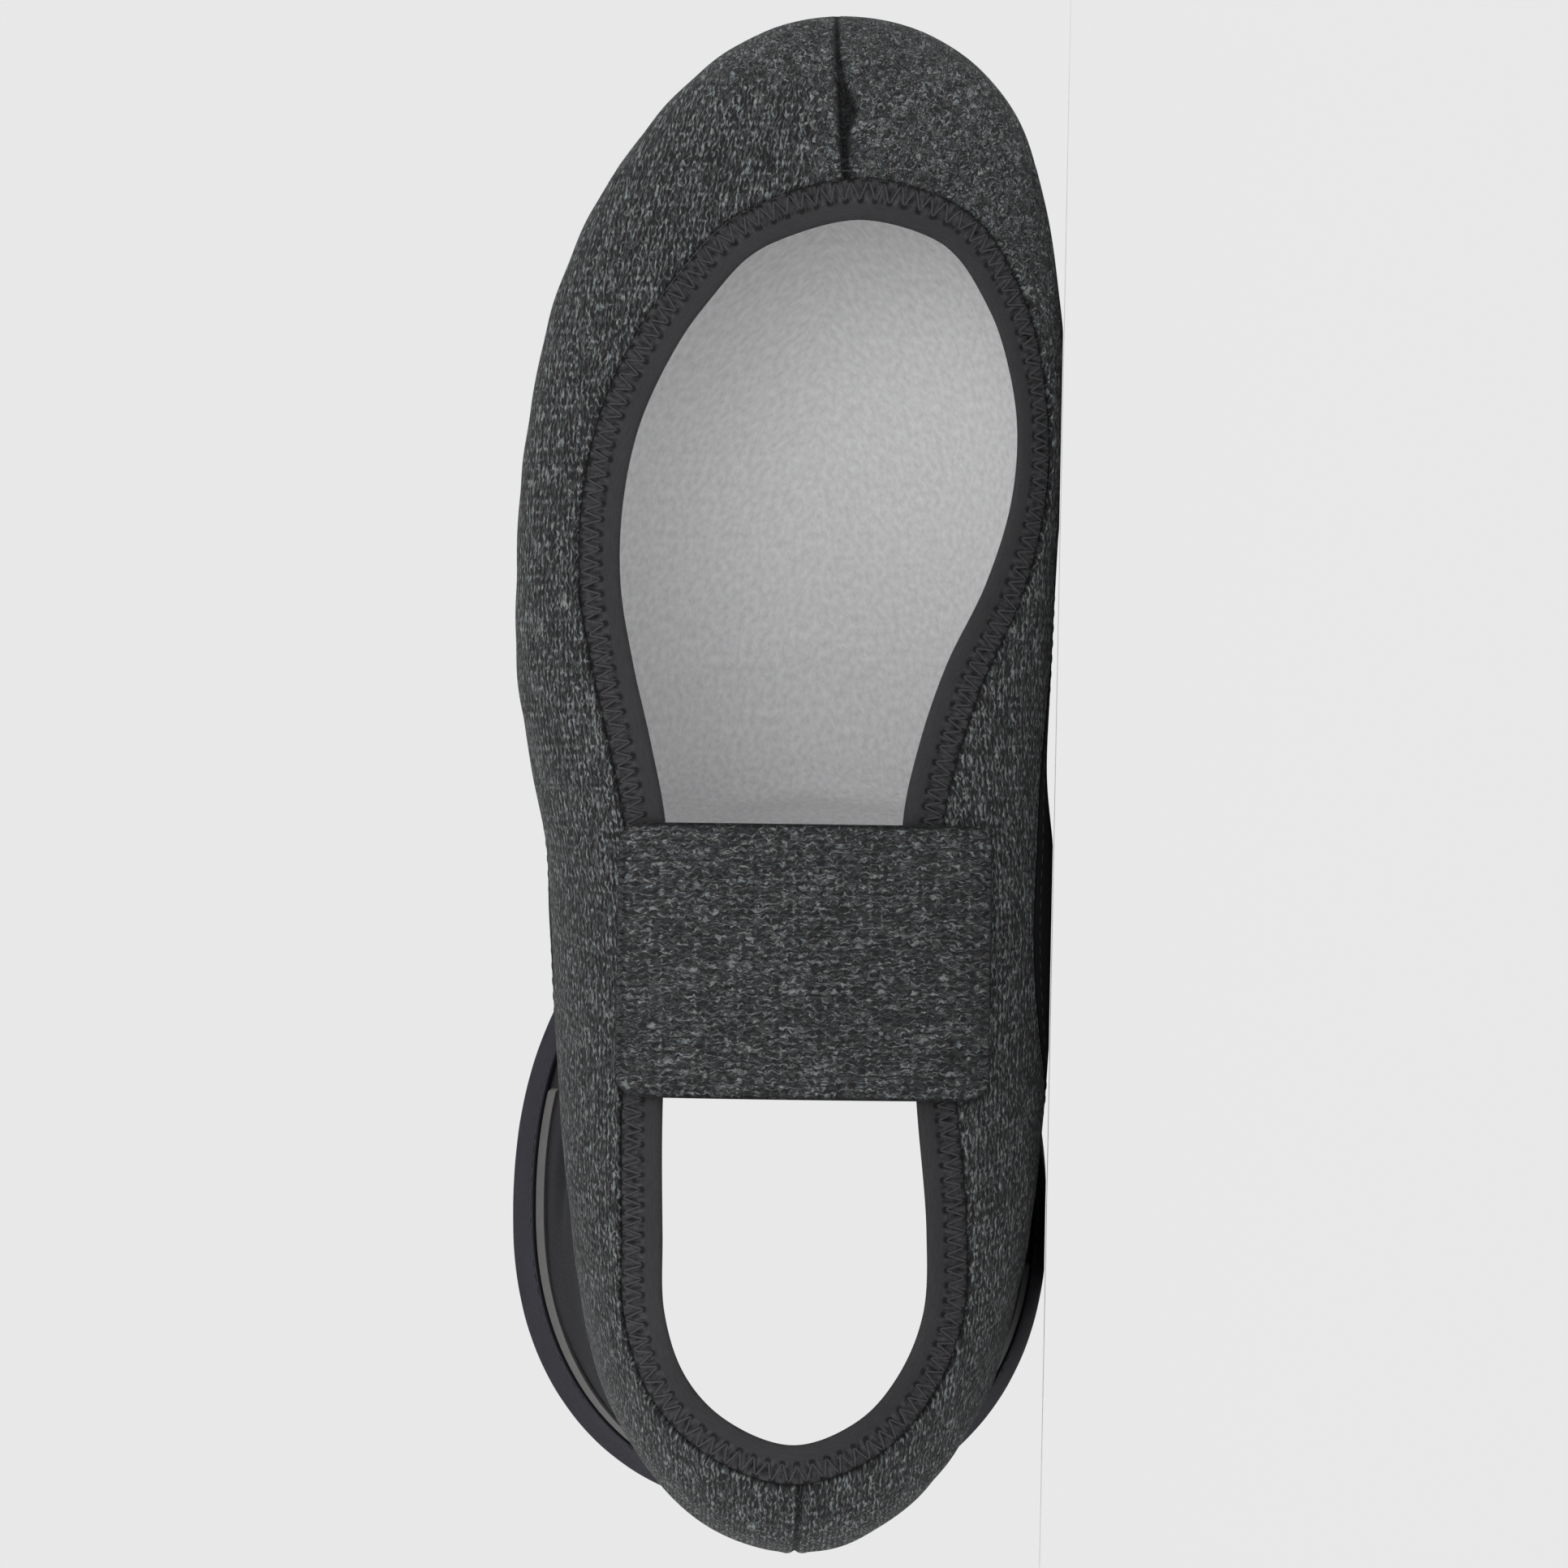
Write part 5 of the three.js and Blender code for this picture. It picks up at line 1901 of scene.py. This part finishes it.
@dataclass
class OpeningBinding:
    """The elastic band round the cut-out, with its zigzag stitching."""

    shop: Workshop
    stations: int = 560
    thread_radius: float = 0.19
    wander: float = 0.3
    pucker: float = 0.1
    lap: float = 0.3

    def __post_init__(self) -> None:
        """Works out how far the band reaches under the knit, and how deep its face lies."""
        self.reach = self.shop.fabric.binding_width + self.lap
        self.base = -self.shop.fabric.binding_recess - 0.05

    def places(self, offsets: Array, count: int) -> tuple[Array, Array, Array]:
        """Places across the band at even steps round the cut-out.

        Args:
            offsets: distances from the inner edge.
            count: how many steps.

        Returns:
            k, turn and the length along the band, with a row for each step.
        """
        inner = self.shop.cutout.outline(0.0)
        outer = self.shop.cutout.outline(self.shop.fabric.binding_width)
        middle = (inner + outer) / 2
        reached = lengths_along(middle)
        steps = np.linspace(0, reached[-1], count + 1)
        low, high = (
            np.stack([np.interp(steps, reached, line[:, i]) for i in (0, 1)], 1) for line in (inner, outer)
        )
        share = (offsets / self.shop.fabric.binding_width)[None, :, None]
        k, turn = self.shop.last.under(low[:, None] + (high - low)[:, None] * share)
        return k, turn, steps

    def level(self, offset: Array, along: Array) -> Array:
        """How far the band's face stands off the last.

        Args:
            offset: distances from the inner edge.
            along: lengths along the band.

        Returns:
            The outsets.
        """
        half = self.shop.fabric.binding_wall / 2
        inner, outer = rolled(offset, half), rolled(self.reach - offset, half)
        sewn = hump(offset - sum(ZIGZAG_LINES) / 2, 1.7)
        waves = np.cos(2 * np.pi * along / ZIGZAG_PITCH)
        crown = 0.22 * hump(offset - 1.9, 1.3)
        return self.base - inner - outer + crown - sewn * (0.16 + self.pucker * waves)

    def build(self) -> None:
        """Builds the band and its thread."""
        shop, last = self.shop, self.shop.last
        half = shop.fabric.binding_wall / 2
        offsets = np.concatenate(
            [half * (1 - np.cos(np.linspace(0, np.pi / 2, 7))), np.linspace(half, 7.0, 15)[1:]]
        )
        offsets = np.concatenate([offsets, 7.0 + 0.7 * np.sin(np.linspace(0, np.pi / 2, 6))[1:]])
        k, turn, steps = self.places(offsets, self.stations)
        along = np.repeat(steps[:, None], len(offsets), axis=1)
        face = self.level(offsets[None], along)
        inner = rolled(offsets, half) + rolled(self.reach - offsets, half)
        lining = np.broadcast_to(self.base - shop.fabric.binding_wall + inner[None], face.shape)
        lining = np.where((offsets[None] == 0) | (offsets[None] == offsets[-1]), face, lining)
        whole = round(steps[-1] / ZIGZAG_PITCH) * ZIGZAG_PITCH
        lie = vectors(along * whole / steps[-1], offsets[None], 0)
        marks = vectors(FAR + 0 * along, self.reach - offsets[None], FAR)
        cloth = Cloth()
        cloth.add(last.layer(k, turn, face), lie, marks, 0, False)
        cloth.add(last.layer(k, turn, lining), lie, marks, 0, True)
        shop.finish("cutout_binding", cloth, [shop.finishes.elastic], "elastic", "opening_binding")
        self.zigzag()

    def zigzag(self) -> None:
        """Builds the zigzag thread, up and down between two lines of needle holes."""
        shop, last = self.shop, self.shop.last
        bottom, top = ZIGZAG_LINES
        fine = np.linspace(bottom, top, 9)
        k, turn, steps = self.places(fine, self.stations * 2)
        legs = 2 * round(steps[-1] / ZIGZAG_PITCH)
        per_leg = 7
        walk = np.linspace(0, legs, legs * per_leg + 1)
        swing = np.abs((walk + 1) % 2 - 1)
        chance = np.random.default_rng(11).uniform(-self.wander, self.wander, (2, legs + 1))
        chance[:, -1] = chance[:, 0]
        sway, reach = (np.interp(walk, np.arange(legs + 1), values) for values in chance)
        swing = np.clip(swing + reach / (top - bottom), 0, 1)
        rows = np.clip((walk + sway / ZIGZAG_PITCH) / legs, 0, 1) * (len(steps) - 1)
        low = np.minimum(rows.astype(int), len(steps) - 2)
        share = rows - low
        col = swing * (len(fine) - 1)
        left = np.minimum(col.astype(int), len(fine) - 2)
        side = col - left
        mixed = []
        for grid in (k, turn):
            near = grid[low, left] * (1 - side) + grid[low, left + 1] * side
            far = grid[low + 1, left] * (1 - side) + grid[low + 1, left + 1] * side
            mixed.append(near * (1 - share) + far * share)
        offset = bottom + swing * (top - bottom)
        along = np.interp(rows, np.arange(len(steps)), steps)
        bow = self.thread_radius * (2.2 * np.sin(np.pi * (walk % 1)) ** 0.5 - 1.1)
        path = last.layer(mixed[0], mixed[1], self.level(offset, along) + bow)
        rings = thread(path, self.thread_radius)
        around = np.linspace(0, 2 * np.pi * self.thread_radius, rings.shape[1])
        cloth = Cloth()
        cloth.add(rings, vectors(lengths_along(path)[:, None], around[None], 0))
        shop.finish("zigzag_stitches", cloth, [shop.finishes.zigzag], "elastic")


@dataclass
class BridgePanel:
    """The knitted patch across the arch, sewn down at its two ends."""

    shop: Workshop
    length: float = 52.0
    width: float = 68.5
    corner: float = 4.0
    turn_degrees: float = 0.8
    centre: tuple[float, float] = (0.386, 0.019)
    stitch_pitch: float = 1.5
    stitch_reach: tuple[float, float] = (-0.7, 1.5)
    stitch_radius: float = 0.18
    yarn_curl: float = 0.42

    def outline(self, inset: float) -> Array:
        """The rounded rectangle, moved inwards, in its own plane.

        Args:
            inset: how far inwards.

        Returns:
            Its points, the first one again at the end.
        """
        x, y = self.length / 2 - self.corner, self.width / 2 - self.corner
        radius = self.corner - inset
        points = []
        for quarter, (cx, cy) in enumerate(((x, y), (-x, y), (-x, -y), (x, -y))):
            angle = (quarter + np.linspace(0, 1, 9)) * np.pi / 2
            points.append(np.stack([cx + radius * np.cos(angle), cy + radius * np.sin(angle)], 1))
        turns = np.vstack([*points, points[0][:1]])
        filled = [turns[:1]]
        for start, end in zip(turns[:-1], turns[1:]):
            reach = np.linalg.norm(end - start)
            steps = 30 if reach > 2 * self.corner else 1
            filled.append(start + (end - start) * (np.arange(1, steps + 1) / steps)[:, None])
        return np.vstack(filled)

    def plan(self, own: Array) -> Array:
        """Places of the panel's own plane as places of the overshoe's plan.

        Args:
            own: x and y in the panel's plane, last.

        Returns:
            x and y in the overshoe's plan, last.
        """
        angle = math.radians(self.turn_degrees)
        turn = np.array([[math.cos(angle), math.sin(angle)], [-math.sin(angle), math.cos(angle)]])
        last = self.shop.last
        centre = np.array([self.centre[0] * last.foot_length, self.centre[1] * last.ball_width])
        return own @ turn + centre

    def build(self) -> None:
        """Builds the panel and the stitches of its two ends."""
        shop, last = self.shop, self.shop.last
        wall, gap = shop.fabric.bridge_wall, shop.fabric.seam_gap
        insets = np.array([0, 0.04, 0.13, 0.28, 0.48, 0.72, 1.0, 1.4, 1.9, 2.6, 3.4])
        rings = [self.outline(inset) for inset in insets]
        shrink = np.linspace(1, 0, 26)[1:]
        grid = np.stack([*rings, *(rings[-1] * share for share in shrink)])
        edge = np.concatenate([insets, insets[-1] + (1 - shrink) * 20])[:, None] + 0 * grid[..., 0]
        k, turn = last.under(self.plan(grid))
        half = wall / 2
        stitched = hump(np.abs(np.abs(grid[..., 1]) - self.width / 2) - 1.4, 0.9)
        soft = 0.12 * np.sin(grid[..., 0] * 0.33 + 0.5) * np.sin(grid[..., 1] * 0.21 + 1.0)
        face = gap + wall - rolled(edge, half) - 0.3 * stitched + soft * smoothstep(edge, 1.0, 6.0)
        lining = gap + rolled(edge, half)
        lining[0] = face[0]
        lie = vectors(grid[..., 1], grid[..., 0], self.yarn_curl)
        # The knit's finish paints a line of shade along the panel's rim, by these marks.
        marks = vectors(edge, FAR, FAR)
        cloth = Cloth()
        cloth.add(last.layer(k, turn, face), lie, marks, 0, True)
        cloth.add(last.layer(k, turn, lining), lie, marks, 0, False)
        shop.finish("arch_bridge", cloth, [shop.finishes.bridge], "bridge_knit", "bridge_panel")
        self.stitches()

    def stitches(self) -> None:
        """Builds the close zigzag over the panel's two ends."""
        shop, last = self.shop, self.shop.last
        cloth = Cloth()
        span = self.length - 2 * self.corner
        legs = 2 * round(span / self.stitch_pitch)
        walk = np.linspace(0, legs, legs * 6 + 1)
        swing = np.abs((walk + 1) % 2 - 1)
        low, high = self.stitch_reach
        inset = low + swing * (high - low)
        top = shop.fabric.seam_gap + shop.fabric.bridge_wall
        for side in (1, -1):
            own = np.stack([(walk / legs - 0.5) * span, side * (self.width / 2 - inset)], 1)
            k, turn = last.under(self.plan(own))
            climb = smoothstep(inset, -0.25, 0.9)
            level = 0.15 + (top - 0.1) * climb
            path = last.layer(k, turn, level + 0.12 * np.sin(np.pi * (walk % 1)))
            rings = thread(path, self.stitch_radius)
            around = np.linspace(0, 1.1, rings.shape[1])
            cloth.add(rings, vectors(lengths_along(path)[:, None], around[None], 0))
        shop.finish("bridge_stitches", cloth, [shop.finishes.zigzag], "bridge_knit")


@dataclass
class Studio:
    """The camera, the lights and the pale floor."""

    laying: Laying
    aim: tuple[float, float] = (145.2, -1.8)
    distance: float = 2200.0
    lens: float = 271.0
    lowest: float = 1.0
    floor_reach: float = 14.0

    def camera(self) -> None:
        """Looks at the underside, toe up, from no lower than just over the floor."""
        target = self.laying.down(np.array([self.aim[0], self.aim[1], 0.0])[None])[0]
        raw = np.array([self.aim[0], self.aim[1], -self.distance]) @ self.laying.matrix.T + self.laying.origin
        raw[2] = max(raw[2], self.lowest)
        place = Vector(raw * MILLIMETRE)
        ahead = (Vector(target) - place).normalized()
        up = self.laying.direction((1, 0, 0))
        right = ahead.cross(up).normalized()
        up = right.cross(ahead)
        data = bpy.data.cameras.new("camera")
        data.lens = self.lens
        data.sensor_width = 36.0
        data.clip_start, data.clip_end = 0.02, 60.0
        made = bpy.data.objects.new("camera", data)
        turn = Matrix((right, up, -ahead)).transposed()
        made.matrix_world = Matrix.Translation(place) @ turn.to_4x4()
        bpy.context.collection.objects.link(made)
        bpy.context.scene.camera = made

    def light(self, name: str, towards: tuple[float, float, float], angle: float, strength: float) -> None:
        """Adds one soft, even light from far away.

        Args:
            name: its name.
            towards: the direction that it comes from.
            angle: how wide it looks, in degrees.
            strength: its strength, in watts per square metre.
        """
        data = bpy.data.lights.new(name, "SUN")
        data.angle = math.radians(angle)
        data.energy = strength
        made = bpy.data.objects.new(name, data)
        made.rotation_euler = Vector(towards).to_track_quat("Z", "Y").to_euler()
        bpy.context.collection.objects.link(made)

    def floor(self) -> None:
        """Adds the floor and the even pale surroundings."""
        mesh = bpy.data.meshes.new("studio_floor")
        reach = self.floor_reach
        corners = [(-reach, -reach, 0), (reach, -reach, 0), (reach, reach, 0), (-reach, reach, 0)]
        mesh.from_pydata(corners, [], [(0, 1, 2, 3)])
        material, g = fresh_material("pale_floor")
        place = g.add("NewGeometry").outputs["Position"]
        cloud = g.noise(place, 3.0).outputs[0]
        colour = g.blend(cloud, (0.905, 0.905, 0.905, 1.0), (0.925, 0.925, 0.925, 1.0))
        dull = {"Base Color": colour, "Roughness": 1.0, "Specular IOR Level": 0.0}
        shader = g.add("BsdfPrincipled", None, dull)
        g.feed(g.add("OutputMaterial").inputs["Surface"], shader.outputs[0])
        mesh.materials.append(material)
        made = bpy.data.objects.new("studio_floor", mesh)
        made.location = (0, 0, -0.0002)
        bpy.context.collection.objects.link(made)
        world = bpy.data.worlds.new("studio_world")
        world.use_nodes = True
        back = world.node_tree.nodes["Background"]
        back.inputs["Color"].default_value = display(232, 232, 232)
        back.inputs["Strength"].default_value = 1.0
        bpy.context.scene.world = world

    def build(self) -> None:
        """Sets the whole studio up."""
        bpy.context.scene.view_settings.view_transform = "Standard"
        self.camera()
        self.floor()
        self.light("key_light", (0.2, -1.0, 0.08), 40.0, 0.75)
        self.light("fill_light", (-0.3, -0.6, 0.8), 60.0, 0.2)


def main() -> None:
    """Builds the overshoe, piece by piece."""
    logging.basicConfig(level=logging.INFO, format="%(name)s: %(message)s")
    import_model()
    last, fabric = LastForm(), Fabric()
    laying = Laying(last, fabric)
    shop = Workshop(last, fabric, CutOut(last), SeamLine(last), laying, Finishes.make())
    Studio(laying).build()
    KnitBody(shop).build()
    SoftshellTop(shop).build()
    CuffBand(shop).build()
    ReflectiveStrip(shop).build()
    OpeningBinding(shop).build()
    BridgePanel(shop).build()


if __name__ == "__main__":
    main()
